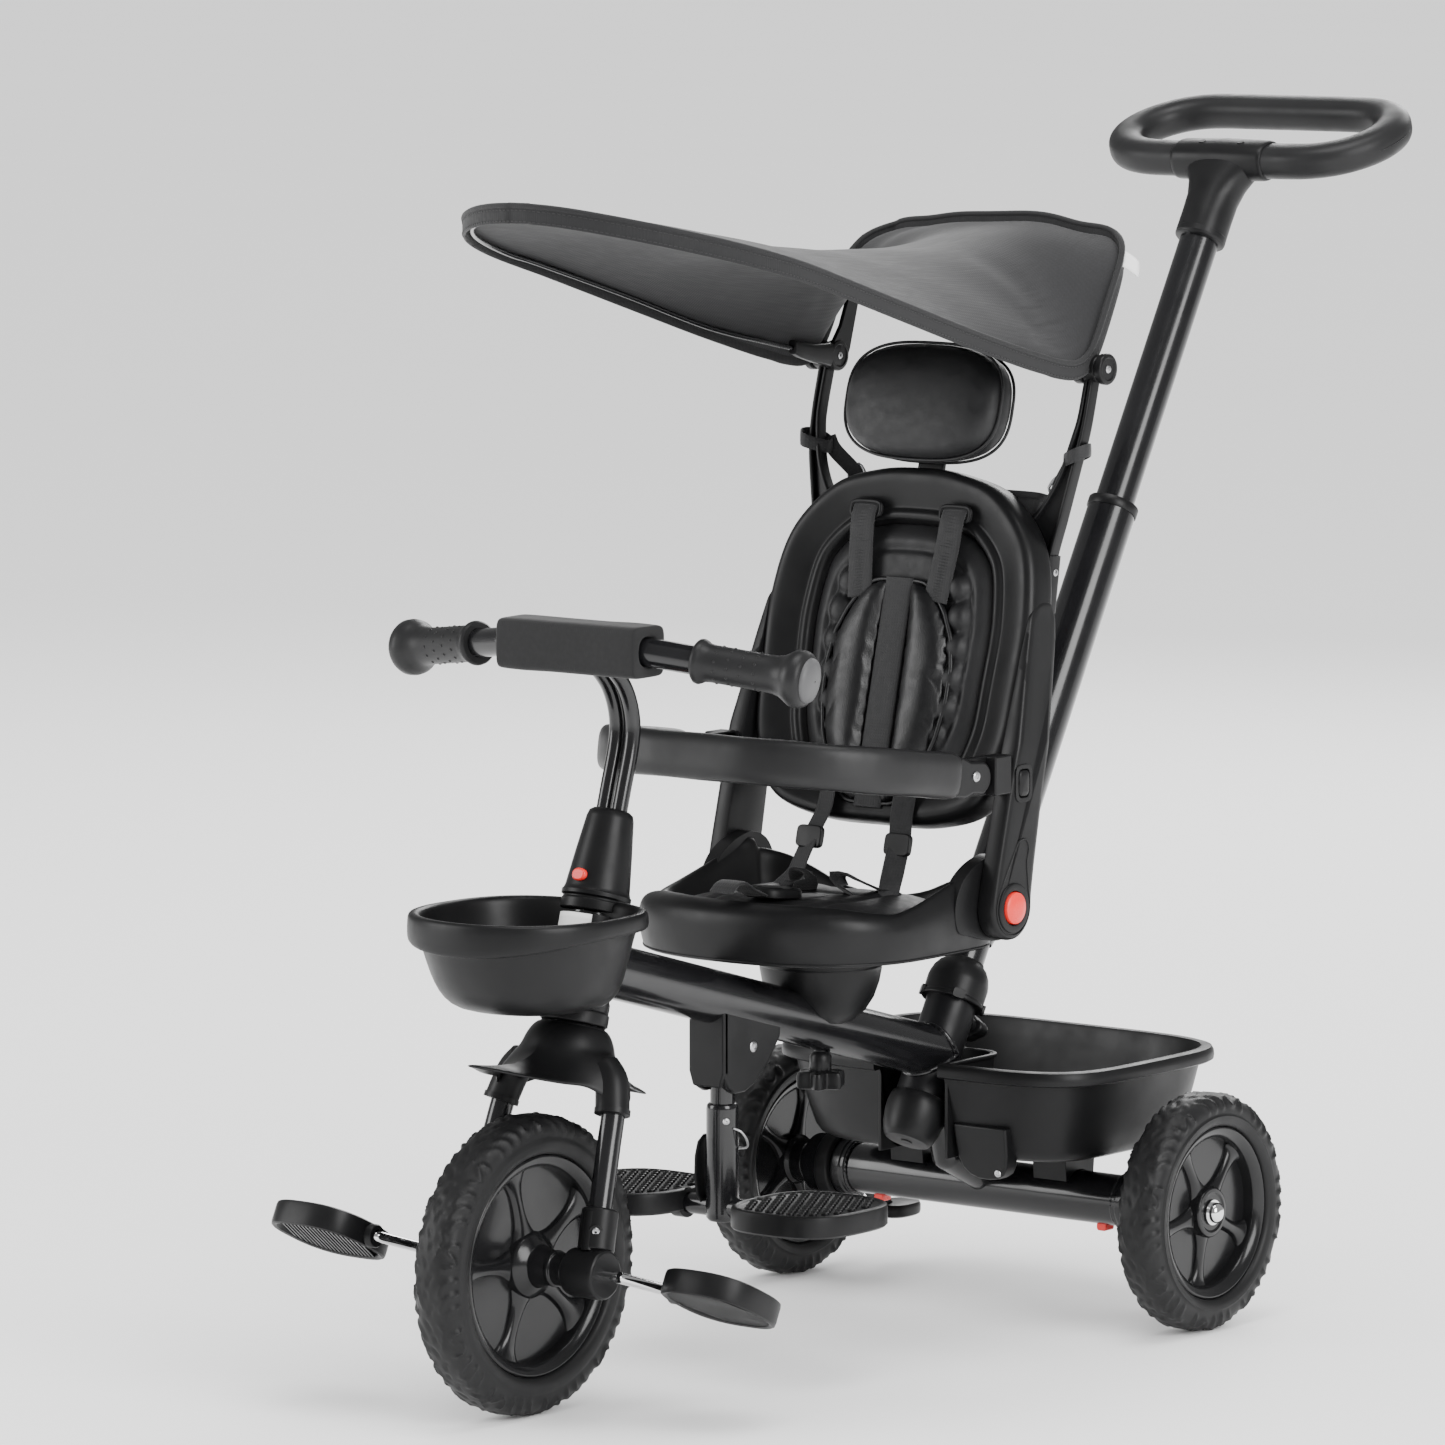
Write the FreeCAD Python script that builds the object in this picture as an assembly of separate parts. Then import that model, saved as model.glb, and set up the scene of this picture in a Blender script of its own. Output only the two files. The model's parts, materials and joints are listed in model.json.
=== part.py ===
import FreeCAD, Part
import math
import os

V = FreeCAD.Vector
os.makedirs("parts", exist_ok=True)

# Children's tricycle, millimetres. +X is the rider's left, -Y is forward, +Z is up and the floor is Z = 0.
# Lengths along Y are counted from the rear axle here; REAR_AXLE_Y moves them to the origin at mid-length.
REAR_AXLE_Y = 144.8
WHEELBASE = 622.4
FRONT_R, REAR_R = 120.0, 100.0
TYRE_WIDTH = 42.0
REAR_WHEEL_X = 214.8
AXLE_R = 5.0
RUNNING = 0.06

HEAD_ANGLE = 16.5
HEAD_Y, HEAD_Z = -560.4, 306.5
ROD_ANGLE = 29.78
ROD_Y, ROD_Z = -108.8, 173.0
MAIN_TUBE_R = 22.0
MAIN_FRONT = (0, -547.5, 350.0)
MAIN_REAR = (0, -80.0, 222.0)

SEAT_AXIS_Y = -239.0
HINGE_Y, HINGE_Z = -177.0, 367.6
LEAN = 13.6
ARM_IN, ARM_OUT = 133.0, 150.0
GUARD_Y, GUARD_Z = -218.0, 478.0
KNUCKLE_X, KNUCKLE_Y, KNUCKLE_Z = 140.0, -52.0, 801.0

CRANK_R = 62.0
CRANK_DROP = 18.0
PEDAL_X = 150.0
PEDAL_PITCH = 18.0


def P(x, y, z):
    return V(x, y + REAR_AXLE_Y, z)


def export(node, *shapes):
    solids = []
    for shape in shapes:
        solids += shape.Solids
    shape = solids[0] if len(solids) == 1 else Part.makeCompound(solids)
    shape.exportStep("parts/%s.step" % node)


def join(shapes):
    whole = shapes[0]
    for shape in shapes[1:]:
        whole = whole.fuse(shape)
    return whole


def mirrored(shape):
    return shape.mirror(V(0, 0, 0), V(1, 0, 0))


def rod(start, end, radius):
    along = end - start
    return Part.makeCylinder(radius, along.Length, start, along)


def cone(start, end, r0, r1):
    along = end - start
    return Part.makeCone(r0, r1, along.Length, start, along)


def ball(centre, radius):
    return Part.makeSphere(radius, centre)


def bent_rod(points, radius):
    pieces = [rod(a, b, radius) for a, b in zip(points, points[1:])]
    pieces += [ball(p, radius) for p in points[1:-1]]
    return join(pieces)


def block(x0, x1, y0, y1, z0, z1):
    return Part.makeBox(x1 - x0, y1 - y0, z1 - z0, P(x0, y0, z0))


def soft_block(x0, x1, y0, y1, z0, z1, r):
    box = block(x0, x1, y0, y1, z0, z1)
    return box.makeFillet(r, box.Edges)


def smooth_pipe(points, radius):
    curve = Part.BSplineCurve()
    curve.interpolate(points)
    edge = curve.toShape()
    start = curve.tangent(curve.FirstParameter)[0]
    ring = Part.Wire(Part.makeCircle(radius, points[0], start))
    return Part.Wire(edge).makePipeShell([ring], True, True)


def closed_curve(points):
    curve = Part.BSplineCurve()
    curve.interpolate(points, True)
    return Part.Wire(curve.toShape())


def turned(profile, origin, axis=V(1, 0, 0)):
    """Solid of revolution: profile holds (radius, distance along the axis)."""
    points = [V(r, 0, a) for r, a in profile]
    face = Part.Face(Part.makePolygon(points + [points[0]]))
    solid = face.revolve(V(0, 0, 0), V(0, 0, 1), 360)
    solid.Placement = FreeCAD.Placement(origin, FreeCAD.Rotation(V(0, 0, 1), axis))
    return solid


def side_plate(points, x0, x1):
    """Plate between x0 and x1 with a closed outline of (y, z) points."""
    corners = [P(x0, y, z) for y, z in points]
    face = Part.Face(Part.makePolygon(corners + [corners[0]]))
    return face.extrude(V(x1 - x0, 0, 0))


def superellipse(a, b, n, count, centre, z):
    points = []
    for i in range(count):
        t = 2 * math.pi * i / count
        c, s = math.cos(t), math.sin(t)
        x = a * math.copysign(abs(c) ** (2.0 / n), c)
        y = b * math.copysign(abs(s) ** (2.0 / n), s)
        points.append(P(centre[0] + x, centre[1] + y, z))
    return points


def tub(rings):
    """Solid lofted through rings of (half width, half length, exponent, centre y, z)."""
    wires = [closed_curve(superellipse(a, b, n, 24, (0, yc), z)) for a, b, n, yc, z in rings]
    return Part.makeLoft(wires, True, False)


HEAD_UP = V(0, math.sin(math.radians(HEAD_ANGLE)), math.cos(math.radians(HEAD_ANGLE)))
HEAD_FWD = V(0, -math.cos(math.radians(HEAD_ANGLE)), math.sin(math.radians(HEAD_ANGLE)))
ROD_UP = V(0, math.sin(math.radians(ROD_ANGLE)), math.cos(math.radians(ROD_ANGLE)))
ROD_BACK = V(0, math.cos(math.radians(ROD_ANGLE)), -math.sin(math.radians(ROD_ANGLE)))
BACK_UP = V(0, math.sin(math.radians(LEAN)), math.cos(math.radians(LEAN)))
BACK_OUT = V(0, math.cos(math.radians(LEAN)), -math.sin(math.radians(LEAN)))


def on_head(t, forward=0.0, x=0.0):
    return P(x, HEAD_Y, HEAD_Z) + HEAD_UP * t + HEAD_FWD * forward


def on_rod(s, back=0.0, x=0.0):
    return P(x, ROD_Y, ROD_Z) + ROD_UP * s + ROD_BACK * back


def on_back(x, up, out):
    """Point on the backrest: up along its lean from the recline hinge, out towards the rear."""
    return P(x, HINGE_Y, HINGE_Z) + BACK_UP * up + BACK_OUT * out


def back_slab(outline, out0, out1):
    """Slab of the backrest between two depths, with a smooth closed outline of (x, up)."""
    wire = closed_curve([on_back(x, up, out0) for x, up in outline])
    return Part.Face(wire).extrude(BACK_OUT * (out1 - out0))


def back_block(x0, x1, up0, up1, out0, out1):
    corners = [(x0, up0), (x1, up0), (x1, up1), (x0, up1)]
    points = [on_back(x, up, out0) for x, up in corners]
    face = Part.Face(Part.makePolygon(points + [points[0]]))
    return face.extrude(BACK_OUT * (out1 - out0))


# ---- welded main frame ----
beam_outer = rod(P(-150, 0, REAR_R), P(150, 0, REAR_R), 21.5)
main_tube = rod(P(*MAIN_FRONT), P(*MAIN_REAR), MAIN_TUBE_R)
head_tube = rod(on_head(0), on_head(86), 18)
socket = rod(on_rod(4), on_rod(112), 21.5)
down_tube = bent_rod([P(0, -84, 208), P(0, -62, 134), P(0, -6, 106)], 14)
frame = join([main_tube, head_tube, socket, down_tube])
main_inside = rod(P(0, -528, 344.6), P(0, -116, 231.9), 19.5)
frame = frame.cut(main_inside)
frame = frame.cut(rod(on_head(-5), on_head(95), 12 + RUNNING))
frame = frame.cut(rod(on_rod(18), on_rod(120), 16))
frame = frame.cut(beam_outer)
frame = frame.cut(rod(P(0, SEAT_AXIS_Y, 200), P(0, SEAT_AXIS_Y, 300), 5.4))
frame = frame.cut(rod(on_rod(96, 14), on_rod(96, 30), 3 + RUNNING))
export("main_frame", frame)

# ---- rear axle beam: tube with bigger end bushes that carry the brake rings ----
beam = beam_outer.cut(rod(P(-140, 0, REAR_R), P(140, 0, REAR_R), 18.5))
for side in (-1, 1):
    beam = beam.fuse(rod(P(side * 146, 0, REAR_R), P(side * 184, 0, REAR_R), 25))
beam = beam.cut(rod(P(-190, 0, REAR_R), P(190, 0, REAR_R), AXLE_R)).removeSplitter()
export("rear_axle_beam", beam)
export("rear_axle", rod(P(-229, 0, REAR_R), P(229, 0, REAR_R), AXLE_R))
nut_profile = [(0, 0), (8.5, 0), (8.5, 3.5), (6, 6.5), (0, 7.2)]
nuts = [
    turned(nut_profile, P(229, 0, REAR_R)), turned(nut_profile, P(-229, 0, REAR_R), V(-1, 0, 0))
]
export("axle_nuts", *nuts)

# ---- push rod socket trim ----
cap_profile = [
    (0, -23), (17, -23), (23, -18), (26, -8), (26, 6), (23.5, 14), (21.5, 14), (21.5, 4), (0, 4)
]
export("socket_end_cap", turned(cap_profile, P(0, ROD_Y, ROD_Z), ROD_UP).cut(frame))
collar_profile = [
    (21.5, 104), (26.5, 104), (26.5, 122), (24, 132), (18, 140), (16, 140), (16, 112), (21.5, 112)
]
export("socket_collar", turned(collar_profile, P(0, ROD_Y, ROD_Z), ROD_UP))
knob = [rod(on_rod(96, 17), on_rod(96, 30), 3), rod(on_rod(96, 27.5), on_rod(96, 34), 7)]
for i in range(3):
    angle = math.radians(120 * i)
    offset = V(1, 0, 0) * (5 * math.cos(angle)) + ROD_UP * (5 * math.sin(angle))
    knob.append(rod(on_rod(96, 33) + offset, on_rod(96, 46) + offset, 6.5))
export("collar_knob", join(knob))

# ---- push rod: outer tube locked in the socket, inner tube telescopes ----
lower = join(
    [
        rod(on_rod(18), on_rod(172), 16), cone(on_rod(160), on_rod(176), 17.5, 21),
        rod(on_rod(176), on_rod(569), 21),
    ]
)
lower = lower.cut(rod(on_rod(200), on_rod(570), 17 + RUNNING))
export("push_rod_lower", lower.removeSplitter())
upper = rod(on_rod(469), on_rod(893), 17).cut(rod(on_rod(468), on_rod(880), 15))
export("push_rod_upper", upper)

LOOP_TILT = 20.0
LOOP_BACK = V(0, math.cos(math.radians(LOOP_TILT)), math.sin(math.radians(LOOP_TILT)))
LOOP_HALF, LOOP_STRAIGHT, LOOP_BAR = 53.0, 72.5, 14.0
loop_front = on_rod(902)


def on_loop(x, back):
    return loop_front + LOOP_BACK * back + V(x, 0, 0)


loop_ring = Part.Wire(Part.makeCircle(LOOP_BAR, on_loop(0, 0), V(1, 0, 0)))
loop_path = Part.Wire(
    [
        Part.LineSegment(on_loop(0, 0), on_loop(LOOP_STRAIGHT, 0)).toShape(),
        Part.Arc(
            on_loop(LOOP_STRAIGHT, 0),
            on_loop(LOOP_STRAIGHT + LOOP_HALF, LOOP_HALF),
            on_loop(LOOP_STRAIGHT, 2 * LOOP_HALF),
        ).toShape(),
        Part.LineSegment(
            on_loop(LOOP_STRAIGHT, 2 * LOOP_HALF), on_loop(-LOOP_STRAIGHT, 2 * LOOP_HALF)
        ).toShape(),
        Part.Arc(
            on_loop(-LOOP_STRAIGHT, 2 * LOOP_HALF),
            on_loop(-LOOP_STRAIGHT - LOOP_HALF, LOOP_HALF),
            on_loop(-LOOP_STRAIGHT, 0),
        ).toShape(),
        Part.LineSegment(on_loop(-LOOP_STRAIGHT, 0), on_loop(0, 0)).toShape(),
    ]
)
loop = loop_path.makePipeShell([loop_ring], True, True)
sleeve = rod(on_rod(822), on_rod(902), 21.5)
tee = rod(on_loop(-44, 0), on_loop(44, 0), 16.5)
grip = join([loop, tee, sleeve]).cut(rod(on_rod(810), on_rod(893), 17))
export("push_handle", grip)

# ---- rear basket on the axle beam ----
basket = tub(
    [(140, 104, 4, 8, 137), (148, 112, 4.5, 8, 160), (158, 122, 5, 8, 205), (160, 124, 5, 8, 221)]
)
inside = tub(
    [
        (136, 100, 4, 8, 140.5), (144.5, 108.5, 4.5, 8, 160), (154.5, 118.5, 5, 8, 205),
        (157, 121, 5, 8, 222),
    ]
)
rim = tub(
    [(159, 123, 5, 8, 209), (167, 131, 5, 8, 211), (167, 131, 5, 8, 218), (159, 123, 5, 8, 221)]
)
basket = basket.fuse(rim)
boss = block(-37, 37, -128, -34, 137, 221)
basket = basket.cut(inside).fuse(boss.common(tub([(160, 124, 5, 8, 136), (160, 124, 5, 8, 222)])))
basket = basket.cut(block(-33, 33, -140, -38, 130, 230))
for side in (-1, 1):
    basket = basket.fuse(block(side * 75 - 15, side * 75 + 15, -19, 19, 105, 139))
basket = basket.cut(rod(P(-300, 0, REAR_R), P(300, 0, REAR_R), 21.5))
export("rear_basket", basket)

# ---- front basket, clamped round the head tube ----
front = tub(
    [(52, 50, 3, -619, 322), (64, 60, 3, -621, 334), (78, 74, 3, -624, 368), (84, 82, 3, -626, 400)]
)
front = front.fuse(
    tub(
        [
            (86, 84, 3, -626, 376), (92, 90, 3, -627, 380), (91, 89, 3, -627, 396),
            (86, 84, 3, -627, 400),
        ]
    )
)
front_in = tub(
    [
        (48, 46, 3, -619, 325.5), (60, 56, 3, -621, 336), (74, 70, 3, -624, 368),
        (81, 79, 3, -626, 401),
    ]
)
front = front.cut(front_in)
front = join([front, rod(on_head(-2), on_head(84), 26.5)])
front = front.cut(rod(on_head(-10), on_head(95), 18))
front = front.cut(rod(on_head(84.5), on_head(140), 29))
front = front.cut(rod(P(*MAIN_FRONT), P(*MAIN_REAR), MAIN_TUBE_R))
export("front_basket", front)

# ---- folding footrest ----
bracket = side_plate(
    [(-391, 306), (-314, 285), (-314, 268), (-352, 228), (-384, 228), (-391, 236)], -18, 18
)
bracket = bracket.cut(rod(P(*MAIN_FRONT), P(*MAIN_REAR), MAIN_TUBE_R))
bracket = bracket.cut(block(-10.4, 10.4, -383, -300, 200, 268))
bracket = bracket.fuse(rod(P(-20, -370, 250), P(20, -370, 250), 4)).removeSplitter()
export("footrest_bracket", bracket)
leg = join(
    [rod(P(0, -370, 150), P(0, -370, 250), 10), rod(P(-10, -370, 250), P(10, -370, 250), 10)]
)
leg = leg.cut(rod(P(-12, -370, 250), P(12, -370, 250), 4 + RUNNING))
export("footrest_leg", leg)
crossbar = rod(P(-84, -370, 131), P(84, -370, 131), 8)
sleeve = rod(P(0, -370, 124), P(0, -370, 216), 13).cut(rod(P(0, -370, 150), P(0, -370, 217), 10))
export("footrest_sleeve", join([crossbar, sleeve]))
for name, side in (("foot_plate_left", 1), ("foot_plate_right", -1)):
    wire = closed_curve(superellipse(55, 60, 3, 24, (side * 89, -370), 124.5))
    plate = Part.Face(wire).extrude(V(0, 0, 20))
    plate = plate.cut(crossbar)
    export(name, plate)

# ---- seat base, clamp knob and swivelling seat ----
base_profile = [
    (0, 264), (24, 268), (40, 282), (48, 298), (50, 314), (52, 316), (52, 335.4), (0, 335.4)
]
base = turned(base_profile, P(0, SEAT_AXIS_Y, 0), V(0, 0, 1))
base = base.cut(rod(P(*MAIN_FRONT), P(*MAIN_REAR), MAIN_TUBE_R))
base = base.cut(rod(P(0, SEAT_AXIS_Y, 304), P(0, SEAT_AXIS_Y, 340), 18 + RUNNING))
base = base.cut(rod(P(0, SEAT_AXIS_Y, 230), P(0, SEAT_AXIS_Y, 298), 5.4))
export("seat_base", max(base.Solids, key=lambda s: s.Volume))
knob = [
    rod(P(0, SEAT_AXIS_Y, 226), P(0, SEAT_AXIS_Y, 294), 5),
    rod(P(0, SEAT_AXIS_Y, 226), P(0, SEAT_AXIS_Y, 236), 9),
]
knob.append(rod(P(0, SEAT_AXIS_Y, 212), P(0, SEAT_AXIS_Y, 227), 15))
for i in range(6):
    angle = math.radians(60 * i)
    x, y = 16 * math.cos(angle), SEAT_AXIS_Y + 16 * math.sin(angle)
    knob.append(rod(P(x, y, 212), P(x, y, 227), 5.5))
export("seat_knob", join(knob))

PAN_Y = -264.0
pan = tub(
    [
        (96, 82, 3, PAN_Y, 336), (122, 106, 3, PAN_Y, 345), (130, 114, 3, PAN_Y, 362),
        (126, 110, 3, PAN_Y, 392),
    ]
)
pan_in = tub(
    [
        (90, 76, 3, PAN_Y, 344), (112, 94, 3, PAN_Y, 352), (117, 99, 3, PAN_Y, 366),
        (120, 104, 3, PAN_Y, 393),
    ]
)
pan = pan.cut(pan_in)
pan = pan.cut(Part.makeCylinder(120, 400, P(-200, -292, 373 + 120), V(1, 0, 0)))
wing_points = [(-262, 372), (-216, 402), (-200, 408), (-177, 411)]
wing_points += [
    (HINGE_Y + 30 * math.cos(a / 10), HINGE_Z + 30 * math.sin(a / 10)) for a in range(12, -16, -3)
]
wing_points += [(-200, 342), (-255, 352)]
for side in (-1, 1):
    wing = side_plate(wing_points, 121, 132.6)
    pin = rod(P(130, HINGE_Y, HINGE_Z), P(141, HINGE_Y, HINGE_Z), 9)
    wing = wing.fuse(pin)
    pan = pan.fuse(wing if side == 1 else mirrored(wing))
pan = pan.fuse(rod(P(0, SEAT_AXIS_Y, 306), P(0, SEAT_AXIS_Y, 346), 18))
export("seat_pan", pan)
cushion = tub(
    [
        (86, 72, 3, PAN_Y, 344.3), (106, 88, 3, PAN_Y, 354), (110, 92, 3, PAN_Y, 364),
        (98, 80, 3, PAN_Y, 370),
    ]
)
export("seat_cushion", cushion.cut(pan))

# ---- backrest ----
OUTLINE = [
    (0, 58), (60, 60), (104, 80), (128, 130), (132, 180), (137, 245), (122, 300), (84, 340),
    (40, 354),
]
outline = OUTLINE + [(0, 357)] + [(-x, up) for x, up in reversed(OUTLINE[1:])]


def inset(points, d):
    centre = 205.0
    result = []
    for x, up in points:
        length = math.hypot(x, up - centre)
        result.append((x * (1 - d / length), centre + (up - centre) * (1 - d / length)))
    return result


shell = back_slab(outline, -16, 16)
shell = shell.cut(back_slab(inset(outline, 26), -17, -6))
shell = shell.cut(back_slab(inset(outline, 12), 6, 17))
shell = shell.cut(back_block(-10.3, 10.3, 288, 370, -5.3, 5.3))
keep_out = [
    block(ARM_IN - 0.4, 200, -230, -60, 300, 560), block(-200, -ARM_IN + 0.4, -230, -60, 300, 560)
]
for box in keep_out:
    shell = shell.cut(box)
shell = max(shell.Solids, key=lambda s: s.Volume)
export("backrest_shell", shell)
pad = back_slab(inset(outline, 30), -24, -6.2)
export("back_pad", pad)

# recline arms beside the shell, with the hinge at their lower end
low, high = (HINGE_Y, HINGE_Z, 27.0), (-147.0, 508.0, 25.0)
arm_points = [
    (
        low[0] + low[2] * math.cos(a / 10), low[1] + low[2] * math.sin(a / 10)
    ) for a in range(-33, 3, 3)
]
arm_points += [
    (
        high[0] + high[2] * math.cos(a / 10), high[1] + high[2] * math.sin(a / 10)
    ) for a in range(-1, 30, 3)
]
arm_left = side_plate(arm_points, ARM_IN, ARM_OUT)
arm_left = arm_left.cut(
    rod(P(ARM_IN - 1, HINGE_Y, HINGE_Z), P(141.4, HINGE_Y, HINGE_Z), 9 + RUNNING)
)
arm_left = arm_left.cut(rod(P(143, HINGE_Y, HINGE_Z), P(151, HINGE_Y, HINGE_Z), 12.3))
latch_hole = side_plate(
    [(-172.3, 456.7), (-155.7, 456.7), (-155.7, 481.3), (-172.3, 481.3)], 144, 151
)
arm_left = arm_left.cut(latch_hole)
button = rod(P(146.5, HINGE_Y, HINGE_Z), P(153, HINGE_Y, HINGE_Z), 12)
latch = side_plate([(-172, 457), (-156, 457), (-156, 481), (-172, 481)], 146.5, 152)
export("recline_arm_left", arm_left)
export("recline_arm_right", mirrored(arm_left))
export("recline_button_left", button)
export("recline_button_right", mirrored(button))
export("guard_latch_left", latch)
export("guard_latch_right", mirrored(latch))

# guard rail: padded U between two end brackets that plug into the arms
bracket = side_plate([(-233, 462), (-190, 462), (-190, 494), (-233, 494)], 134, 140.7)
bracket = bracket.fuse(
    side_plate([(-200, 464), (-174.2, 464), (-174.2, 490), (-200, 490)], 134, 148)
)
bracket = bracket.fuse(rod(P(140, GUARD_Y, GUARD_Z), P(149, GUARD_Y, GUARD_Z), 4)).removeSplitter()
bracket = bracket.cut(arm_left)
bracket = max(bracket.Solids, key=lambda s: s.Volume)
export("guard_brackets", bracket, mirrored(bracket))

GUARD_FRONT, GUARD_CORNER, GUARD_RISE = -403.0, 100.0, 7.5


def on_guard(x, y):
    return P(x, y, GUARD_Z + (GUARD_Y - y) * math.tan(math.radians(GUARD_RISE)))


rail_end = -246.0
slant = math.cos(math.radians(45))
inner = KNUCKLE_X - GUARD_CORNER
bend_y = GUARD_FRONT + GUARD_CORNER
rail_path = Part.Wire(
    [
        Part.LineSegment(on_guard(140, rail_end), on_guard(140, bend_y)).toShape(),
        Part.Arc(
            on_guard(140, bend_y),
            on_guard(inner + GUARD_CORNER * slant, bend_y - GUARD_CORNER * slant),
            on_guard(inner, GUARD_FRONT),
        ).toShape(),
        Part.LineSegment(on_guard(inner, GUARD_FRONT), on_guard(-inner, GUARD_FRONT)).toShape(),
        Part.Arc(
            on_guard(-inner, GUARD_FRONT),
            on_guard(-inner - GUARD_CORNER * slant, bend_y - GUARD_CORNER * slant),
            on_guard(-140, bend_y),
        ).toShape(),
        Part.LineSegment(on_guard(-140, bend_y), on_guard(-140, rail_end)).toShape(),
    ]
)
section_centre = on_guard(140, rail_end)
section = Part.makePolygon(
    [
        section_centre + V(x, 0, z) for x, z in (
            (-12, -19), (12, -19), (12, 19), (-12, 19), (-12, -19)
        )
    ]
)
rail = rail_path.makePipeShell([section], True, True)
tongue = side_plate([(-258, 471), (-206, 468), (-206, 488), (-258, 491)], 141, 147)
rail = rail.fuse(tongue).fuse(mirrored(tongue)).removeSplitter()
pivot = rod(P(-160, GUARD_Y, GUARD_Z), P(160, GUARD_Y, GUARD_Z), 4 + RUNNING)
export("guard_rail", rail.cut(pivot))

# headrest on a flat post that slides in the shell
post = back_block(-10, 10, 296, 392, -5, 5)
export("headrest_post", post)
head_outline = []
for i in range(24):
    t = 2 * math.pi * i / 24
    c, s = math.cos(t), math.sin(t)
    head_outline.append(
        (80 * math.copysign(abs(c) ** 0.7, c), 410 + 50 * math.copysign(abs(s) ** 0.7, s))
    )
head_pad = back_slab(head_outline, -38, 6)
export("headrest_pad", head_pad.cut(post))

# storage bag behind the shell, open at the top
bag = back_block(-104, 104, 160, 345, 16.4, 68)
bag = bag.cut(back_block(-101, 101, 164, 350, 19.5, 65))
export("storage_bag", bag)

# two webbing straps that run down over the pad, and the crotch strap
straps = [back_block(side * 46 - 10, side * 46 + 10, 120, 322, -26.6, -24.3) for side in (-1, 1)]
export("harness", *straps)

# canopy posts from the shell's back to the knuckles
post_left = smooth_pipe(
    [P(117, -84.5, 640), P(126, -79, 680), P(136, -72, 730), P(138, -54, 796)], 7.5
)
eye = rod(P(133, KNUCKLE_Y, KNUCKLE_Z), P(146.6, KNUCKLE_Y, KNUCKLE_Z), 11.5)
post_left = post_left.fuse(eye).removeSplitter()
post_left = post_left.cut(
    rod(P(130, KNUCKLE_Y, KNUCKLE_Z), P(150, KNUCKLE_Y, KNUCKLE_Z), 4 + RUNNING)
)
post_left = post_left.cut(shell)
post_left = max(post_left.Solids, key=lambda s: s.Volume)
export("canopy_post_left", post_left)
export("canopy_post_right", mirrored(post_left))

# ---- canopy: knuckles, two wire bows and the cloth over them ----
CANOPY_HALF = 140.0
FRONT_MID_Y, FRONT_REACH = -440.0, 187.0
EDGE = [
    (-627, 946), (-600, 936), (-560, 926), (-500, 911), (-440, 897), (-330, 868), (-220, 838),
    (-130, 818),
]
EDGE += [(-70, 822), (-25, 850), (12, 893)]
CREST = [
    (-627, 950), (-600, 949), (-560, 945), (-500, 936), (-440, 926), (-330, 908), (-220, 899),
    (-130, 899),
]
CREST += [(-70, 903), (-25, 909), (12, 915)]


def canopy_half(y):
    if y >= FRONT_MID_Y:
        return CANOPY_HALF
    return CANOPY_HALF * math.sqrt(max(0.0, 1 - ((y - FRONT_MID_Y) / FRONT_REACH) ** 2))


sections = []
for (y, edge), (_, crest) in zip(EDGE, CREST):
    half = max(canopy_half(y), 14.0)
    top, bottom = [], []
    for i in range(9):
        x = half * (-1 + i / 4.0)
        z = edge + (crest - edge) * (1 - (x / half) ** 2)
        top.append(P(x, y, z + 1.5))
        bottom.append(P(x, y, z - 1.5))
    over, under = Part.BSplineCurve(), Part.BSplineCurve()
    over.interpolate(top)
    under.interpolate(list(reversed(bottom)))
    ends = [
        Part.LineSegment(top[-1], bottom[-1]).toShape(),
        Part.LineSegment(bottom[0], top[0]).toShape(),
    ]
    sections.append(Part.Wire([over.toShape(), ends[0], under.toShape(), ends[1]]))
cloth = Part.makeLoft(sections, True, False)

front_bow = [
    P(150.5, KNUCKLE_Y, KNUCKLE_Z), P(150, -74, 802), P(138, -140, 812), P(132, -330, 860),
    P(128, -440, 888),
]
front_bow += [P(100, -545, 916), P(50, -604, 935), P(0, -616, 941)]
front_bow += [V(-p.x, p.y, p.z) for p in reversed(front_bow[:-1])]
rear_bow = [
    P(150.5, KNUCKLE_Y, KNUCKLE_Z), P(149.5, -43, 818), P(136, -14, 858), P(124, 2, 882),
    P(90, 4, 895), P(0, 4, 908),
]
rear_bow += [V(-p.x, p.y, p.z) for p in reversed(rear_bow[:-1])]
parts = [smooth_pipe(front_bow, 2.5), smooth_pipe(rear_bow, 2.5)]
for side in (-1, 1):
    parts.append(rod(P(side * 147, KNUCKLE_Y, KNUCKLE_Z), P(side * 154, KNUCKLE_Y, KNUCKLE_Z), 13))
    parts.append(rod(P(side * 133, KNUCKLE_Y, KNUCKLE_Z), P(side * 148, KNUCKLE_Y, KNUCKLE_Z), 4))
canopy_frame = join(parts)
export("canopy_frame", canopy_frame)
cloth = cloth.cut(canopy_frame)
export("canopy_cloth", max(cloth.Solids, key=lambda s: s.Volume))

# ---- steering: fork, crown fender, shoes, stem, handlebar ----
FRONT_Y = -WHEELBASE
steerer = rod(on_head(-36), on_head(150), 12)
shoulder = bent_rod([P(-54, -577, 252), P(-34, -573, 272), P(34, -573, 272), P(54, -577, 252)], 9.5)
legs = [rod(P(s * 54, -577, 252), P(s * 65.5, -613, 145), 9.5) for s in (-1, 1)]
fork = join([steerer, shoulder] + legs)
export("fork", fork)
crown = [cone(on_head(-4), on_head(-34), 24, 36)]
for side in (-1, 1):
    crown.append(cone(P(side * 32, -572, 276), P(side * 55, -580, 243), 20, 14))
front_brim = [P(-44, -610, 268), P(44, -610, 268), P(12, -690, 284), P(-12, -690, 284)]
rear_brim = [P(-40, -540, 262), P(40, -540, 262), P(10, -468, 238), P(-10, -468, 238)]
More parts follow.
